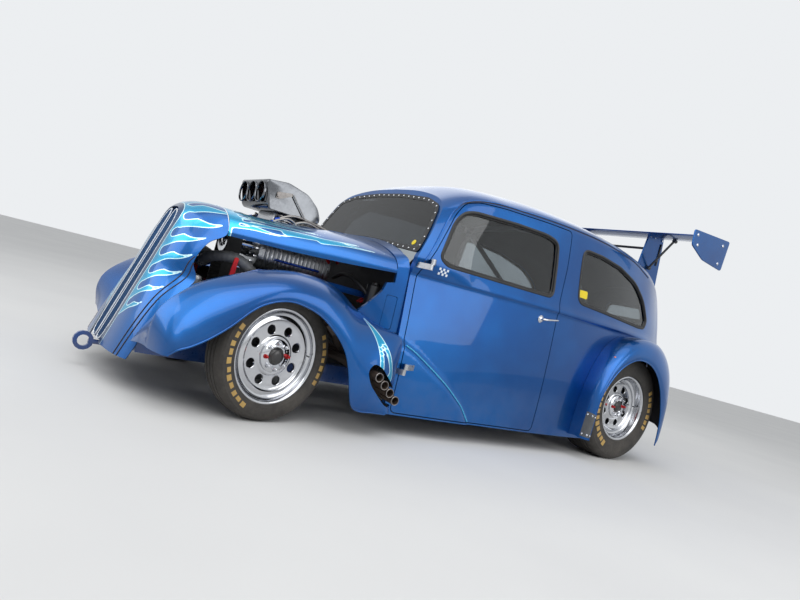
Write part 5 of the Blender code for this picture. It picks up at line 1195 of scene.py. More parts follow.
for place in ("front_left", "front_right", "rear_left", "rear_right"):
    spec = wheels[place.split("_")[0]]
    body = f"wheel_{place}"
    face = spec["rim"] * .45
    rim = turnedShape(rimProfile(spec["rim"]), (0, 0, 0), 0, wheels["sides"])
    rim = newPiece(f"rim.{place}", *atWheel(place, rim), looks["polished"], body, "rim", [f"rim_{place}"], 28)
    holes = []
    for k in range(8):
        a = 2 * math.pi * (k + .5) / 8
        y, z = wheels["holeCircle"] * math.cos(a), wheels["holeCircle"] * math.sin(a)
        bore = [(face - .03, wheels["holeRadius"]), (face + .0045, wheels["holeRadius"]),
                (face + .0085, wheels["holeRadius"] + .004), (face + .03, wheels["holeRadius"] + .004)]
        holes.append(atWheel(place, knobShape(bore, (0, y, z), 0, 24)))
    carve(rim, holes)
    tyre = turnedShape(tyreProfile(spec), (0, 0, 0), 0, wheels["sides"])
    newPiece(f"tyre.{place}", *atWheel(place, tyre), looks["tyre"], body, "tyre", [f"tyre_{place}"], 35)
    marks = []
    for middle, reach in ((math.pi + .30, 5), (.05, 3)):
        for k in range(-reach, reach + 1):
            a = middle + .148 * k
            marks.append(sideDash(spec, a - (.052 if k % 3 else .036), a + .052, .36, .62 if k % 2 else .57))
    newPiece(f"tyreMarks.{place}", *atWheel(place, joinShapes(marks)), looks["gold"], body, "tyre")
    end = spec["spindle"] + .0015
    flange = turnedShape([(face + .0122, .0308), (face + .0122, .074), (face + .018, .074),
                          (face + .022, .069), (face + .022, .0308)], (0, 0, 0), 0, 48)
    cap = turnedShape([(face + .0222, .0308), (end, .0308), (end, 0), (end + .004, 0), (end + .004, .014),
                       (end + .002, .024), (end - .003, .032), (end - .010, .036), (face + .0222, .040)],
                      (0, 0, 0), 0, 40)
    newPiece(f"hubFlange.{place}", *atWheel(place, flange), looks["chrome"], body, "rim")
    newPiece(f"hubCap.{place}", *atWheel(place, cap), looks["black"], body, "rim")
    nuts = {"chrome": [], "red": []}
    for k in range(8):
        a = 2 * math.pi * k / 8 + .1
        middle = (0, wheels["nutCircle"] * math.cos(a), wheels["nutCircle"] * math.sin(a))
        nut = knobShape([(face + .0215, .0105), (face + .031, .0105), (face + .034, .0085)], middle, 0, 6)
        stud = knobShape([(face + .033, .0055), (face + .043, .0055), (face + .0445, .0040)], middle, 0, 12)
        nuts["red" if k in (0, 4) else "chrome"] += [nut, stud]
    for finishName, shapes in nuts.items():
        newPiece(f"wheelNuts.{finishName}.{place}", *atWheel(place, joinShapes(shapes)), looks[finishName],
                 body, "rim")
    stem = tubeShape([(face + .020, .170, .020), (face + .030, .168, .020), (face + .042, .163, .020)],
                     .0032, 10)
    newPiece(f"valve.{place}", *atWheel(place, stem), looks["rubber"], body, "rim")
print("wheels and tyres made")

# Grille in its leaning plane: dark bands with bright outlines either side of a fine ladder

grille = {"half": .1215, "strip": .016, "band": .106, "line": .0031, "rungs": 92, "slats": 11}
lean = np.array((0, noseSettings["lean"], 1)) / math.hypot(noseSettings["lean"], 1)
ahead = np.array((0, -lean[2], lean[1]))
grilleFoot = np.array((0, grilleLine(.142), .142))
grilleHeight = (.822 - .142) / lean[2]


def onGrille(outline, out):
    outline = np.asarray(outline, dtype=float)
    return grilleFoot + outline[:, :1] * np.array((1, 0, 0)) + outline[:, 1:] * lean + ahead * out


def grilleSlab(outline, back, front):
    # Flat outline in the grille plane pushed between two depths
    return loopsShape([onGrille(outline, back), onGrille(outline, front)])


plateOutline = roundCorners([(-grille["half"], .004), (grille["half"], .004), (.118, .640), (.106, .682),
                             (.080, .703), (.040, .712), (-.040, .712), (-.080, .703), (-.106, .682),
                             (-.118, .640)], .03)
newPiece("grillePlate", *grilleSlab(plateOutline, -.022, -.013), paintLook, "chassis", "grille", ["grille"])
panels = []
lines = []
slats = []
for turn in (1, -1):
    inner, outer = grille["strip"] + grille["line"], grille["band"]
    band = roundCorners([(inner * turn, .010), (.060 * turn, .006), (.094 * turn, .030), (outer * turn, .12),
                         (outer * turn, .600), (.097 * turn, .650), (.078 * turn, .684), (.050 * turn, .698),
                         (.030 * turn, .698), (inner * turn, .672)], .02)
    panels.append(grilleSlab(band, -.0125, -.0030))
    lines.append(tubeShape(onGrille(resample(band, .010, True), -.0025), grille["line"], 8, True))
    for k in range(grille["slats"]):
        x = (inner + (outer - inner) * (k + .5) / grille["slats"]) * turn
        top = .690 - .9 * max(0, abs(x) - .055) ** 1.25
        slats.append(tubeShape(onGrille([(x, .024), (x, top)], -.0030), .0022, 6))
addParts("grilleBands", panels, "band", "grille")
addParts("grilleLines", lines, "white", "grille")
addParts("grilleSlats", slats, "band", "grille")
rungs = []
for k in range(grille["rungs"]):
    up = .016 + k * (grilleHeight * .94 - .016) / grille["rungs"]
    rungs.append(grilleSlab([(-.0145, up), (.0145, up + .0022), (.0145, up + .0056), (-.0145, up + .0034)],
                            -.0125, -.0035))
addParts("grilleLadder", rungs, "frameBlue", "grille")

# Dark seams round the nose ends and the bright line between nose and bonnet

seamSettings = {"width": .0024}
noseSeams = []
last = len(noseHalf) - 1
for share, top in ((.60, 43), (.71, 39)):
    rise = np.arange(top + 1)
    across = share * last + (rise / top) ** 2.4 * (1 - share) * last
    low = np.minimum(across.astype(int), last - 1)
    part = (across - low)[:, None]
    path = noseHalf[low, rise] * (1 - part) + noseHalf[low + 1, rise] * part
    noseSeams.append(path + np.array((.0006, -.0004, .0004)))
for name, turn in bothSides:
    flip = np.array((turn, 1, 1))
    seams = [tubeShape(smoothPath(path[::3], .012) * flip, seamSettings["width"], 8) for path in noseSeams]
    addParts(f"noseSeams.{name}", seams, "seam", "body")
joint = smoothPath(np.concatenate([noseGrid[-1, 62:100], noseGrid[-1, 100:137]])[::3]
                   + np.array((0, .0012, .0004)), .012)
newPiece("bonnetJoint", *tubeShape(joint, .0020, 8), looks["white"], "chassis", "body")
print("grille and seams made")

# High wing over the tail

spoiler = {"half": .760, "front": 2.700, "chord": .380, "height": 1.555, "plate": .0085}


def bladeSection(count):
    # Closed section: cambered top from nose to tail, then the underside back
    t = (1 - np.cos(np.linspace(0, math.pi, count))) / 2
    along = spoiler["front"] + spoiler["chord"] * t
    camber = spoiler["height"] + .030 + .040 * t * t
    bulge = np.sin(math.pi * t ** .6)
    top = np.column_stack([along, camber + .013 * bulge])
    under = np.column_stack([along, camber - .010 * bulge - .002])
    lipRise = np.column_stack([[spoiler["front"] + spoiler["chord"] + .001], [spoiler["height"] + .078]])
    return np.concatenate([top, lipRise, under[::-1][:-1]])


section = bladeSection(26)
blade = np.zeros((40, len(section), 3))
blade[:, :, 0] = np.linspace(-spoiler["half"], spoiler["half"], 40)[:, None]
blade[:, :, 1:] = section
newPiece("wingBlade", *loopsShape(blade), paintLook, "chassis", "spoiler", ["rear_spoiler"], 30)
bladeZ = spoiler["height"]
plateSide = roundCorners([(2.670, bladeZ + .063), (3.125, bladeZ + .095), (3.095, bladeZ - .123),
                          (2.840, bladeZ - .108), (2.676, bladeZ - .043)], .02)
boltSpots = [(2.715, bladeZ + .035), (2.735, bladeZ - .030), (3.045, bladeZ + .045), (3.030, bladeZ - .085)]
for name, turn in bothSides:
    outer = spoiler["half"] + spoiler["plate"]
    plate = prismShape(plateSide, 0, *spanOf(turn, spoiler["half"] - .001, outer))
    plate = newPiece(f"endPlate.{name}", *plate, paintLook, "chassis", "spoiler")
    roundEdges(plate, .0025)
    head = [((outer + out) * turn, radius)
            for out, radius in ((-.001, .011), (.002, .011), (.004, .007), (.005, .002))]
    bolts = [knobShape(head, (0, y, z), 0, 16) for y, z in boltSpots]
    addParts(f"endPlateBolts.{name}", bolts, "chrome", "spoiler")

upright = roundCorners([(2.745, 1.300), (3.030, 1.150), (2.985, bladeZ + .046), (2.800, bladeZ + .034)], .01)
for name, turn in bothSides:
    leg = prismShape(upright, 0, *spanOf(turn, .340, .352))
    leg = newPiece(f"wingUpright.{name}", *leg, paintLook, "chassis", "spoiler")
    carve(leg, [cabinTrim])
    stay = tubeShape([(.353 * turn, 2.875, 1.352), (.515 * turn, 2.875, bladeZ + .026)], .008, 14)
    ends = [knobShape([(2.861, .013), (2.889, .013)], (x * turn, 0, z), 1, 16)
            for x, z in ((.358, 1.36), (.512, 1.570))]
    rear = tubeShape([(.355 * turn, 2.960, 1.395), (.355 * turn, 2.965, 1.560)], .006, 12)
    addParts(f"wingStay.{name}", [stay, rear] + ends, "black", "spoiler")
    bolts = [knobShape([(x, .008) for x in spanOf(turn, .353, .359)], (0, y, z), 0, 6)
             for y, z in ((2.815, 1.580), (2.965, 1.585), (2.870, 1.585), (2.80, 1.34), (2.90, 1.30))]
    addParts(f"wingBolts.{name}", bolts, "chrome", "spoiler")
newPiece("wingCrossRod", *tubeShape([(-.340, 2.890, 1.505), (.340, 2.890, 1.505)], .009, 14), looks["black"],
         "chassis", "spoiler")
print("high wing made")

# Vent panels in the scuttle sides, stone guards, coloured patches and the flag pattern

flagSettings = {"columns": 5, "rows": 3, "start": (.800, .838), "pitch": .0125, "square": .0123}
ventSkin = loftAcross(scuttleTable, np.linspace(.556, .622, 14), 60)
for name, turn in bothSides:
    flip = np.array((turn, 1, 1))
    sheet = thickened(ventSkin[:, :24] * flip - np.array((.001 * turn, 0, 0)), .005, (0, .6, .5))[:2]
    vent = newPiece(f"ventPanel.{name}", *sheet, paintLook, "chassis", "body", (), 32)
    carve(vent, [frameTool(growOutline(ventOutline, -.0004), 0, *spanOf(turn, .3, .9))])
    skin = rearWing[1:12, 2:23]
    normal = np.cross(np.gradient(skin, axis=0), np.gradient(skin, axis=1))
    normal *= np.sign((normal * (skin - np.array((.45, wheelBase, .2)))).sum())
    normal /= np.linalg.norm(normal, axis=2, keepdims=True)
    guard = shellShape((skin + normal * .0025) * flip, (skin - normal * .0010) * flip)[:2]
    newPiece(f"stoneGuard.{name}", *guard, looks["cast"], "chassis", "body")
    bolts = []
    for row, column in ((1, 2), (1, 10), (1, 18), (9, 2), (9, 10), (9, 18)):
        turned = np.array(Vector(normal[row, column]).to_track_quat("X", "Z").to_matrix())
        head = knobShape([(0, .0058), (.0045, .0058), (.0062, .0040)], (0, 0, 0), 0, 10)
        bolts.append(((head[0] @ turned.T + skin[row, column]) * flip, head[1]))
    addParts(f"guardBolts.{name}", bolts, "chrome", "body")
    patch = onSkin(resample(roundCorners([(1.900, .962), (1.990, .962), (1.984, 1.010), (1.896, 1.006)], .01),
                            .012, True), -.0098) * flip
    patch = loopsShape([patch, patch + np.array((.0006 * turn, 0, 0))])
    newPiece(f"quarterPatch.{name}", *patch, looks["yellow"], "chassis", "glazing")
    squares = []
    for column, row in np.ndindex(flagSettings["columns"], flagSettings["rows"]):
        if (column + row) % 2 == 0:
            corner = np.array(flagSettings["start"]) + flagSettings["pitch"] * np.array((column, row))
            corners = corner + flagSettings["square"] * np.array([(0, 0), (1, 0), (1, 1), (0, 1)])
            squares.append(loopsShape([onSkin(corners, -.0006) * flip, onSkin(corners, .0005) * flip]))
    newPiece(f"flagPattern.{name}", *joinShapes(squares), looks["white"], f"door_{name}", "body")
    lamp = knobShape([(-.006, .012), (.002, .012), (.006, .009), (.0075, .003)], (0, 0, 0), 0, 18)
    newPiece(f"sideMarker.{name}", (lamp[0] * (1, 2.0, .8) + (.7295, 2.245, .660)) * flip, lamp[1],
             looks["orange"], "chassis", "body")
    # Pale blue bead on the swage line: painted highlight along the raised moulding
    bead = smoothPath([(.700, .453), (.782, .418), (.990, .301), (1.131, .200), (1.205, .122)], .012)
    newPiece(f"swageHighlightBead.{name}", *tubeShape(onSkin(bead, .0030) * flip, .0046, 10), looks["paleBlue"],
             f"door_{name}", "body")
print("vents, guards and patches made")

# Engine: rocker covers, manifold, blower, belt drive, scoop and plumbing

engine = {"crank": .300, "deck": .228, "head": .103, "start": .060, "length": .380, "base": .6363,
          "ribs": 15, "belt": -.075, "beltHalf": .038, "lowPulley": .082, "highPulley": .070,
          "highZ": .742, "scoopBase": .935, "throats": (-.113, 0, .113), "throatZ": 1.010}
tilt = np.array((1, 1)) / math.sqrt(2)
fall = np.array((1, -1)) / math.sqrt(2)


def onBank(up, out, turn):
    # Point (x, z) on one cylinder bank, up from the crankshaft and out across it
    point = tilt * up + fall * out
    return point[0] * turn, engine["crank"] + point[1]


for name, turn in bothSides:
    low = engine["deck"] + engine["head"]
    outline = np.array([onBank(up, out + .010, turn) for up, out in
                        resample(roundCorners([(low + .0004, -.066), (low + .010, -.066), (low + .012, -.062),
                                               (low + .050, -.060), (low + .068, -.040), (low + .068, .040),
                                               (low + .050, .060), (low + .012, .062), (low + .010, .066),
                                               (low + .0004, .066)], .008), .004, True)])
    middle = np.array(onBank(low, .010, turn))
    loops = []
    for y, scale in ((.046, .92), (.048, .97), (.052, 1), (.056, 1), (.058, .965), (.502, .965), (.504, 1),
                     (.508, 1), (.512, .97), (.514, .90)):
        ring = np.zeros((len(outline), 3))
        ring[:, (0, 2)] = middle + (outline - middle) * scale
        ring[:, 1] = y
        loops.append(ring)
    shapes = [loopsShape(loops)]
    for out in np.linspace(-.034, .034, 7):
        x, z = onBank(low + .063, out + .010, turn)
        shapes.append(tubeShape([(x, .075, z), (x, .485, z)], .0035, 8))
    newPiece(f"rockerCover.{name}", *joinShapes(shapes), looks["black"], "chassis", "cylinder_head", (), 30)
    rails = []
    for out in (-.060, .060):
        x, z = onBank(low + .051, out + .010, turn)
        rails.append(tubeShape([(x, .060, z), (x, .500, z)], .0036, 8))
    bolts = []
    for y in np.linspace(.075, .485, 6):
        for out in (-.074, .076):
            x, z = onBank(low + .004, out, turn)
            bolts.append(knobShape([(y - .007, .006), (y + .007, .006)], (x, 0, z), 1, 6))
    addParts(f"coverTrim.{name}", rails + bolts, "polished", "cylinder_head")
    leads = []
    for k, y in enumerate((.105, .220, .335, .450)):
        plug = onBank(low - .060, .088, turn)
        over = onBank(low + .075, .060, turn)
        inner = onBank(low + .085, -.020, turn)
        path = smoothPath([(plug[0], y + .030, plug[1]), (plug[0] + .020 * turn, y + .030, plug[1] + .012),
                           (over[0] + .006 * turn, y + .034, over[1]), (inner[0], y + .040, inner[1]),
                           (.145 * turn, .470 + .006 * k, .640)], .010)
        leads.append(tubeShape(path, .0042, 8))
        leads.append(tubeShape([(plug[0] - .006 * turn, y + .030, plug[1] - .004),
                                (plug[0] + .018 * turn, y + .030, plug[1] + .010)], .009, 10))
    addParts(f"plugLeads.{name}", leads, "red", "cylinder_head")

blowerOutline = np.array(resample(roundCorners([(-.085, 0), (.085, 0), (.115, .045), (.115, .125),
                                                (.085, .190), (-.085, .190), (-.115, .125), (-.115, .045)],
                                               .030), .006, True))
loops = []


def blowerLoop(y, wide, tall):
    ring = np.zeros((len(blowerOutline), 3))
    ring[:, 0] = blowerOutline[:, 0] * wide
    ring[:, 1] = engine["start"] + y
    ring[:, 2] = engine["base"] + blowerOutline[:, 1] * tall
    return ring


stations = [(-.022, 1.02, 1.01), (-.019, 1.05, 1.03), (.001, 1.05, 1.03), (.004, 1.02, 1.01),
            (.005, .985, .985)]
pitch = (engine["length"] - .020) / engine["ribs"]
for k in range(engine["ribs"]):
    y = .010 + k * pitch
    stations += [(y + pitch * .20, .985, .985), (y + pitch * .36, 1.045, 1.035),
                 (y + pitch * .50, 1.055, 1.042), (y + pitch * .64, 1.045, 1.035),
                 (y + pitch * .80, .985, .985)]
stations += [(engine["length"] - .006, .985, .985), (engine["length"] - .004, 1.02, 1.01),
             (engine["length"] - .001, 1.05, 1.03), (engine["length"] + .013, 1.05, 1.03),
             (engine["length"] + .016, 1.02, 1.01)]
neck = softBox((-.080, .090, .8270), (.080, .410, .8582), .006)
newPiece("blowerCase", *joinShapes([loopsShape([blowerLoop(*row) for row in stations]), neck]),
         looks["satin"], "chassis", "supercharger", ["supercharger"], 30)
nose = knobShape([(-.058, .030), (-.055, .046), (-.020, .052), (.030, .060), (.037, .060)],
                 (0, 0, engine["highZ"]), 1, 36)
bolts = []
for k in range(12):
    a = 2 * math.pi * k / 12
    x, z = .100 * math.cos(a), .731 + .078 * math.sin(a)
    bolts.append(knobShape([(.029, .0035), (.032, .006), (.038, .006)], (x, 0, z), 1, 6))
    bolts.append(knobShape([(.454, .006), (.462, .006), (.463, .004)], (x, 0, z), 1, 6))
addParts("blowerNose", [nose] + bolts, "polished", "supercharger")
sideFit = [tubeShape([(.122 * t, .130, .700), (.122 * t, .390, .700)], .007, 12) for t in (1, -1)]
addParts("blowerRails", sideFit, "blueFitting", "supercharger")

# Toothed belt round both pulleys, the teeth a wave on its inner face
beltPath = []
for z, radius, a0, a1 in ((engine["crank"], engine["lowPulley"], math.pi, 2 * math.pi),
                          (engine["highZ"], engine["highPulley"], 0, math.pi)):
    a = np.linspace(a0, a1, 30)
    beltPath.append(np.column_stack([radius * np.cos(a), z + radius * np.sin(a)]))
beltPath = resample(np.concatenate(beltPath), .0045, True)
wave = np.where(np.arange(len(beltPath)) // 2 % 2 == 0, .0, .0028)[:, None]
outerPath = growOutline(beltPath, .0078)
innerPath = beltPath + (growOutline(beltPath, .003) - beltPath) * (wave / .003)
ring = []
for path, y in ((outerPath, -engine["beltHalf"]), (outerPath, engine["beltHalf"]),
                (innerPath, engine["beltHalf"]), (innerPath, -engine["beltHalf"])):
    ring.append(np.column_stack([path[:, 0], np.full(len(path), engine["belt"] + y), path[:, 1]]))
ring = np.stack(ring, axis=1)
newPiece("blowerBelt", *ringShape(ring), looks["belt"], "chassis", "belt_drive", ["blower_drive"], 25)
pulleys = []
for z, radius, reach in ((engine["crank"], engine["lowPulley"], -.0158),
                         (engine["highZ"], engine["highPulley"], -.0182)):
    r = radius - .0010
    profile = [(-.112, .012), (-.110, .024), (-.104, .026), (-.102, r * .55), (-.108, r * .62),
               (-.110, r - .003), (-.110, r), (-.040, r), (-.040, r - .006), (-.046, .030), (reach, .030)]
    pulleys.append(knobShape(profile, (0, 0, z), 1, 60))
    for k in range(6):
        a = k * math.pi / 3
        pulleys.append(knobShape([(-.1035, .0055), (-.1120, .0055), (-.1135, .0035)],
                                 (.034 * math.cos(a), 0, z + .034 * math.sin(a)), 1, 6))
addParts("blowerPulleys", pulleys, "polished", "belt_drive")

# Scoop with three throats: side outline carried across, its top corners rounded towards the sides
scoopSide = np.array(resample(roundCorners([(-.034, 1.073), (.083, 1.088), (.200, 1.062), (.270, 1.010),
                                            (.296, .960), (.296, .935), (.010, .935), (-.004, .950)], .02, 6),
                              .006, True))
scoopMiddle = np.array((.14, .975))
widths = [(-.175, .962), (-.174, .982), (-.170, .993), (-.163, 1.0), (.163, 1.0), (.170, .993), (.174, .982),
          (.175, .962)]
loops = []
for x, scale in widths:
    ring = np.zeros((len(scoopSide), 3))
    ring[:, 0] = x
    ring[:, 1:] = scoopMiddle + (scoopSide - scoopMiddle) * scale
    ring[:, 2] = np.maximum(ring[:, 2], engine["scoopBase"])
    loops.append(ring)
# Scoop chrome darkened in colour: painted shade
scoop = newPiece("scoopShell", *loopsShape(loops), looks["smoked"], "chassis", "scoop", ["injector_scoop"],
                 32)
carve(scoop, [knobShape([(-.10, .049), (.110, .049), (.150, .034)], (x, 0, engine["throatZ"]), 1, 48)
              for x in engine["throats"]])
rims = []
for x in engine["throats"]:
    front = [(-.0295, .0490), (-.0335, .0500), (-.0345, .0530), (-.0315, .0560), (-.0240, .0560),
             (-.0240, .0490)]
    rims.append(turnedShape(front, (x, 0, engine["throatZ"]), 1, 48))
addParts("throatRims", rims, "smoked", "scoop")
newPiece("scoopFoot", *softBox((-.110, .075, .8586), (.110, .300, .9348), .006), looks["satin"], "chassis",
         "scoop")
plates = [knobShape([(.0355, .0470), (.0360, .0482), (.0410, .0482), (.0415, .0470)],
                    (x, 0, engine["throatZ"]), 1, 48) for x in engine["throats"]]
newPiece("butterflies", *joinShapes(plates), looks["darkRed"], "chassis", "throttle_plates",
         ["throttle_plates"])
shaftParts = [tubeShape([(-.186, .0385, engine["throatZ"]), (.186, .0385, engine["throatZ"])], .0052, 12)]
for x in engine["throats"]:
    for dx in (-.020, .020):
        shaftParts.append(knobShape([(.0330, .0035), (.0350, .0035)], (x + dx, 0, engine["throatZ"]), 1, 8))
for turn in (1, -1):
    arm = prismShape(roundCorners([(.028, .995), (.050, .995), (.120, 1.028), (.112, 1.040), (.030, 1.026)],
                                  .008), 0, .178 * turn, .182 * turn)
    pivot = knobShape([(x, .009) for x in spanOf(turn, .176, .190)], (0, .0385, engine["throatZ"]), 0, 14)
    shaftParts += [arm, tubeShape([(.186 * turn, .114, 1.033), (.186 * turn, .250, .890)], .0035, 8), pivot]
addParts("throttleLinkage", shaftParts, "steel", "throttle_plates")
lines = []
for turn in (1, -1):
    lines.append(smoothPath([(.118 * turn, .090, .905), (.150 * turn, .080, .920), (.178 * turn, .150, .905),
                             (.150 * turn, .330, .880), (.110 * turn, .430, .862), (.060 * turn, .470, .800)],
                            .008))
    lines.append(smoothPath([(.118 * turn, .200, .900), (.165 * turn, .230, .915), (.190 * turn, .330, .890),
                             (.150 * turn, .470, .860), (.100 * turn, .500, .780)], .008))
    for k, (out, start, end, high) in enumerate(((.182, .060, .640, .905), (.196, .120, .600, .890),
                                                 (.165, .180, .680, .900), (.205, .020, .420, .880))):
        lines.append(smoothPath([(out * turn, start, high - .010), (out * turn, start + .10, high + .030),
                                 ((out - .012) * turn, (start + end) / 2, high + .010 - .012 * k),
                                 ((out - .030) * turn, end - .08, high - .030 - .010 * k),
                                 ((out - .060) * turn, end, high - .085 - .010 * k)], .010))
hoseShapes = []
fittings = {"red": [], "blueFitting": []}
for path in lines:
    hoseShapes.append(tubeShape(path, .0062 + .0005 * np.sin(np.arange(len(path)) * 2.1), 10))
    for at, step, key in ((0, 1, "blueFitting"), (-1, -1, "red")):
        direction = path[at + step] - path[at]
        direction /= np.linalg.norm(direction)
        fittings[key].append(tubeShape([path[at] - direction * .010, path[at] + direction * .016], .0088, 6))
rails = [tubeShape([(.118 * t, .080, .892), (.118 * t, .295, .892)], .0105, 14) for t in (1, -1)]
addParts("braidedHoses", hoseShapes, "steel", "scoop")
addParts("fuelRails", rails, "polished", "scoop")
for key, shapes in fittings.items():
    newPiece(f"hoseFittings.{key}", *joinShapes(shapes), looks[key], "chassis", "scoop")
manifoldEnd = [(-.050, .4656), (.050, .4656), (.124, .560), (.124, .6355), (-.124, .6355), (-.124, .560)]
manifold = loopsShape([[(x, y, z) for x, z in manifoldEnd] for y in (.060, .500)])
newPiece("manifoldTop", *manifold, looks["cast"], "chassis", "manifold", ["intake_manifold"])
print("engine made")

# Round the engine: grey hose from the nose, red bracket and rods, coolant hoses and clamps

greyRoute = np.array([(.060, -.215, .600), (.150, -.190, .640), (.235, -.110, .655), (.245, -.020, .610),
                      (.205, .020, .560)])
for label, turn in (("greyHose", 1), ("greyHose.right", -1)):
    path = smoothPath(greyRoute * (turn, 1, 1), .006)
    newPiece(label, *tubeShape(path, .026 + .0009 * np.sin(np.arange(len(path)) * 1.6), 24), looks["grey"],
             "chassis", "engine_block")
    clamp = turnedShape([(-.006, .0268), (-.006, .0288), (.006, .0288), (.006, .0268)], (0, 0, 0), 0, 32)
    placed = []
    for at, step in ((4, 1), (-6, -1)):
        direction = Vector(path[at + step] - path[at]).normalized()
        turned = np.array(direction.to_track_quat("X", "Z").to_matrix())
        placed.append((clamp[0] @ turned.T + path[at], clamp[1]))
    addParts(f"{label}.clamps", placed, "chrome", "engine_block")
for name, turn in bothSides:
    bracket = prismShape(roundCorners([(-.150, .400), (-.118, .400), (-.108, .660), (-.128, .660)], .008), 0,
                         *spanOf(turn, .268, .276))
    rods = [tubeShape([(.300 * turn, .560, .600), (.380 * turn, .615, .690)], .006, 10),
            tubeShape([(.330 * turn, .560, .600), (.410 * turn, .620, .680)], .006, 10)]
    addParts(f"redBracket.{name}", [bracket] + rods, "red", "frame")
    can = knobShape([(.560, .040), (.562, .045), (.700, .045), (.704, .038), (.706, .020), (.716, .020),
                     (.718, .014)], (.400 * turn, .585, 0), 2, 32)
    newPiece(f"firewallCan.{name}", *can, looks["black"], "chassis", "firewall")
    coil = smoothPath([(.400 * turn, .560, .640), (.340 * turn, .500, .700), (.250 * turn, .470, .720),
                       (.150 * turn, .470, .690)], .010)
    newPiece(f"firewallHose.{name}", *tubeShape(coil, .011, 14), looks["rubber"], "chassis", "firewall")

# Bright rims on the exhaust tips
tips = [(.492, .296), (.532, .264), (.572, .232), (.612, .200)]
for name, turn in bothSides:
    shapes = []
    for y, z in tips:
        ring = turnedShape([(.7535, .0182), (.7530, .0218), (.7575, .0221), (.7590, .0208), (.7585, .0186)],
                           (0, y + .006, z - .004), 0, 32)
        shapes.append((ring[0] * np.array((turn, 1, 1)), ring[1]))
    addParts(f"exhaustRims.{name}", shapes, "steel", "headers")
print("plumbing made")

# Cabin: seat pads, harness, steering wheel, dials and roll cage pads

seatSettings = {"x": -.305, "fill": .55}
seatX = seatSettings["x"]
panSide = [(1.240, .2623), (1.680, .2623), (1.780, .380), (1.800, .940), (1.725, .960), (1.640, .470),
           (1.240, .405)]
wingSide = [(1.240, .2623), (1.680, .2623), (1.780, .380), (1.795, .880), (1.660, .860), (1.520, .560),
            (1.240, .470)]
panels = [prismShape(roundCorners(outline, .03, 8), 0, seatX + low, seatX + high)
          for outline, low, high in ((panSide, -.1395, .1395), (wingSide, .1400, .185),
                                     (wingSide, -.185, -.1400))]
shell = newPiece("seatShell", *joinShapes(panels), looks["black"], "chassis", "seat", ["seat"])
roundEdges(shell, .008)


def padSurface(corner, along, across, crown, seams):
    # Crowned pad over a flat patch: its height falls to the edge and dips along each sewn channel
    u, v = np.meshgrid(np.linspace(-1, 1, 56), np.linspace(-1, 1, 40), indexing="ij")
    edge = np.clip((1 - abs(u) ** 4) * (1 - abs(v) ** 4), 0, 1) ** .45
    dip = sum(np.exp(-((u - seam) / .035) ** 2) for seam in seams)
    height = crown * edge * (1 - .35 * dip) + .002
    pull = 1 - .035 * (1 - abs(np.stack([v, u]))) ** 2 * (abs(np.stack([u, v])) > .8)
    corner, along, across = (np.array(part, dtype=float) for part in (corner, along, across))
    normal = np.cross(along, across)
    normal /= np.linalg.norm(normal)
    base = corner + (u * pull[0])[:, :, None] * along + (v * pull[1])[:, :, None] * across
    return shellShape(base + normal * height[:, :, None], base)[:2]


padCushion = padSurface((seatX, 1.440, .4395), (0, .180, .0285), (-.125, 0, 0), .030, (-.5, 0, .5))
padBack = padSurface((seatX, 1.678, .690), (0, .040, .228), (-.125, 0, 0), .028, (-.6, -.2, .2, .6))
for label, shape in (("seatCushion", padCushion), ("seatBackPad", padBack)):
    pad = newPiece(label, *shape, looks["seatCloth"], "chassis", "seat", (), 60)
straps = []
for turn in (1, -1):
    shoulder = [(seatX + .060 * turn, 1.765, .965), (seatX + .060 * turn, 1.690, .930),
                (seatX + .062 * turn, 1.622, .760), (seatX + .040 * turn, 1.600, .600),
                (seatX + .012 * turn, 1.560, .512)]
    lap = [(seatX + .130 * turn, 1.590, .485), (seatX + .080 * turn, 1.565, .505),
           (seatX + .015 * turn, 1.550, .512)]
    for points, side in ((shoulder, (.022, 0, 0)), (lap, (0, .018, .010))):
        path = smoothPath(points, .008)
        grid = np.stack([path - side, path, path + side], axis=1)
        straps.append(thickened(grid, .0025, (seatX, 1.9, .5))[:2])
addParts("harness", straps, "harness", "seat")
newPiece("harnessBuckle", *softBox((seatX - .028, 1.535, .510), (seatX + .028, 1.585, .526), .004),
         looks["chrome"], "chassis", "seat")

# Steering wheel: padded rim, three spokes and a boss, about the column
column = joints["steering_column"]
columnAxis = Vector(column["axis"]).normalized()
wheelTurn = np.array(columnAxis.to_track_quat("X", "Z").to_matrix())
wheelMiddle = np.array(column["pos_m"]) - shift


def onColumn(shape):
    return np.asarray(shape[0]) @ wheelTurn.T + wheelMiddle, shape[1]


turns = np.linspace(0, 2 * math.pi, 73)[:-1]
grip = .0112 + .0008 * np.cos(turns * 24)
rimPath = np.column_stack([0 * turns, .150 * np.cos(turns), .150 * np.sin(turns)])
newPiece("steeringRim", *onColumn(tubeShape(rimPath, grip, 14, True)), looks["trim"], "steering_wheel",
         "steering_wheel", ["steering_wheel"])
spokes = []
for a in (90, 210, 330):
    a = math.radians(a)
    reachOut = np.array((math.cos(a), math.sin(a)))
    sideways = np.array((-reachOut[1], reachOut[0]))
    outline = [reachOut * r + sideways * w
               for r, w in ((.020, -.018), (.145, -.011), (.145, .011), (.020, .018))]
    spokes.append(prismShape(outline, 0, -.002, .002))
spokes.append(turnedShape([(-.0345, .004), (.010, .004), (.010, .030), (.004, .036), (-.004, .036),
                           (-.0345, .020)], (0, 0, 0), 0, 36))
newPiece("steeringSpokes", *onColumn(joinShapes(spokes)), looks["satin"], "steering_wheel", "steering_wheel")

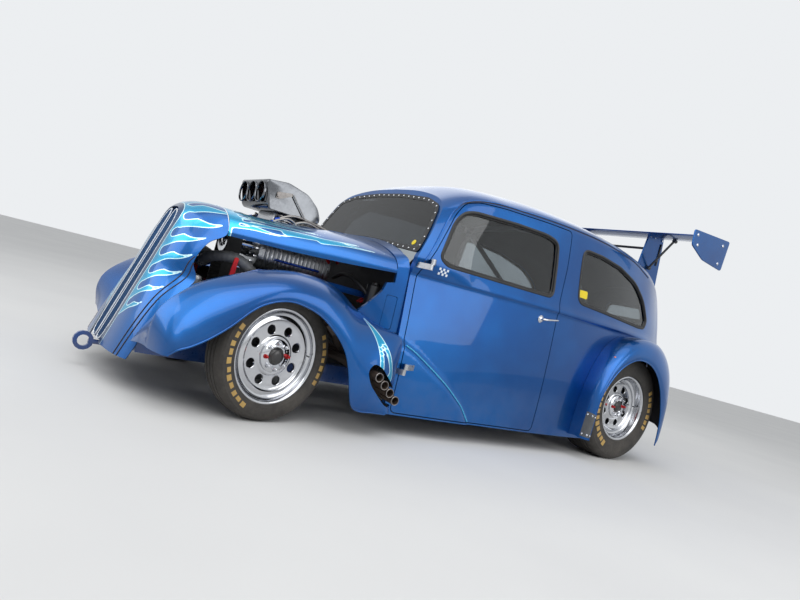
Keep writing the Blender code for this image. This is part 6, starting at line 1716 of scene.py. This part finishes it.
dials = {"faces": [], "rings": [], "needles": []}
for k, (x, radius) in enumerate(((-.400, .030), (-.305, .048), (-.210, .030), (-.120, .026), (-.050, .026))):
    z = .768
    dials["rings"].append(turnedShape([(.7640, radius), (.7780, radius), (.7800, radius + .004),
                                       (.7780, radius + .008), (.7640, radius + .008)], (x, 0, z), 1, 36))
    dials["faces"].append(knobShape([(.7640, radius), (.7765, radius)], (x, 0, z), 1, 36))
    a = 2.4 - .5 * k
    tip = (x + radius * .8 * math.cos(a), .7775, z + radius * .8 * math.sin(a))
    dials["needles"].append(tubeShape([(x, .7775, z), tip], .0012, 6))
addParts("dialRings", dials["rings"], "chrome", "dashboard")
addParts("dialFaces", dials["faces"], "trim", "dashboard")
addParts("dialNeedles", dials["needles"], "orange", "dashboard")
sleeves = []
for turn in (1, -1):
    path = smoothPath([(.4905 * turn, .870, 1.120), (.470 * turn, 1.00, 1.245), (.455 * turn, 1.40, 1.285),
                       (.442 * turn, 1.78, 1.289)], .02)
    sleeves.append(tubeShape(path[2:-2], .0265, 16))
addParts("cagePads", sleeves, "rubber", "cage")
print("cabin fittings made")

# Finishes of the solids that stay as they are

nodeFinishes = {
    "heat": ("headers_left", "headers_right"),
    "steel": ("front_suspension_left", "front_suspension_right", "tie_rods"),
    "cast": ("engine_block", "cylinder_head_left", "cylinder_head_right", "gearbox", "rear_axle",
             "knuckle_left", "knuckle_right", "steering_rack"),
    "frameBlue": ("chassis_frame",), "plate": ("floor_pan", "boot_floor", "fuel_tank"),
    "cage": ("roll_cage",), "trim": ("dashboard", "firewall"), "satin": ("propshaft",)}
for key, names in nodeFinishes.items():
    for name in names:
        for slot in frame["nodes"][name].material_slots:
            slot.material = looks[key]
print("carried solids finished")


# Camera of the photograph and a simple stage

cameraSettings = {"place": (3.111, -2.489, .644), "swing": .622, "pitch": .006, "roll": .256, "lens": 28.34}
swing, pitch, roll = (cameraSettings[key] for key in ("swing", "pitch", "roll"))
rightward = np.array((math.sin(swing), math.cos(swing), 0))
flatForward = np.array((-math.cos(swing), math.sin(swing), 0))
forward = flatForward * math.cos(pitch) + np.array((0, 0, math.sin(pitch)))
upward = np.array((0, 0, math.cos(pitch))) - flatForward * math.sin(pitch)
across = rightward * math.cos(roll) + upward * math.sin(roll)
over = upward * math.cos(roll) - rightward * math.sin(roll)
lensData = bpy.data.cameras.new("camera")
lensData.lens = cameraSettings["lens"]
lensData.sensor_width = 36
camera = newObject("camera", lensData)
camera.matrix_world = Matrix(np.vstack([np.column_stack([across, over, -forward, cameraSettings["place"]]),
                                        (0, 0, 0, 1)]).tolist())
bpy.context.scene.camera = camera

floorMesh = bpy.data.meshes.new("floor")
floorHalf = 30
floorMesh.from_pydata([(x * floorHalf, y * floorHalf, 0) for x, y in ((-1, -1), (1, -1), (1, 1), (-1, 1))],
                      [], [(0, 1, 2, 3)])
floorPlane = newObject("floor", floorMesh)


def seenByCamera(tree):
    # 1 where the camera, a mirror or a glass pane looks, 0 for light that falls on the object
    path = tree.nodes.new("ShaderNodeLightPath")
    seen = mathNode(tree, "MAXIMUM", path.outputs["Is Camera Ray"], path.outputs["Is Glossy Ray"])
    return mathNode(tree, "MAXIMUM", seen, path.outputs["Is Transmission Ray"])


floorLook, tree, shader = newLook("paleFloor")
tone = mixColour(tree, rangeNode(tree, noiseNode(tree, 0.8, 3.0, 0.5).outputs[0], 0.3, 0.7), (.62, .62, .62),
                 (.66, .66, .655))
wire(tree, (tone, shader.inputs["Base Color"]))
setSockets(shader, {"Roughness": 0.85})
floorMesh.materials.append(floorLook)

world = bpy.data.worlds.new("studio")
bpy.context.scene.world = world
world.use_nodes = True
tree = world.node_tree
tree.nodes.clear()
sky, fill = (tree.nodes.new("ShaderNodeBackground") for _ in range(2))
setSockets(sky, {"Color": (.84, .86, .88, 1), "Strength": 1.0})
setSockets(fill, {"Color": (.92, .96, 1.0, 1), "Strength": 0.34})
pick = tree.nodes.new("ShaderNodeMixShader")
leave = tree.nodes.new("ShaderNodeOutputWorld")
wire(tree, (seenByCamera(tree), pick.inputs[0]), (fill.outputs[0], pick.inputs[1]),
     (sky.outputs[0], pick.inputs[2]), (pick.outputs[0], leave.inputs["Surface"]))

lampSettings = [("key", (3.5, -2.5, 5.0), 5.5, 150), ("side", (5.5, 1.8, 2.6), 3.5, 80),
                ("front", (-1.5, -5.5, 3.2), 3.5, 80), ("behind", (-4.0, 3.0, 4.5), 6.0, 60)]
for label, place, size, power in lampSettings:
    lampData = bpy.data.lights.new(label, "AREA")
    lampData.size = size
    lampData.energy = power
    lamp = newObject(label, lampData)
    lamp.location = place
    lamp.rotation_euler = (Vector((0, 0, .5)) - Vector(place)).to_track_quat("-Z", "Y").to_euler()
sunData = bpy.data.lights.new("sun", "SUN")
sunData.energy = 1.1
sunData.angle = 1.2
newObject("sun", sunData).rotation_euler = (.35, .30, 0)
bpy.context.scene.view_settings.view_transform = "Standard"
print("camera, floor and lamps set")
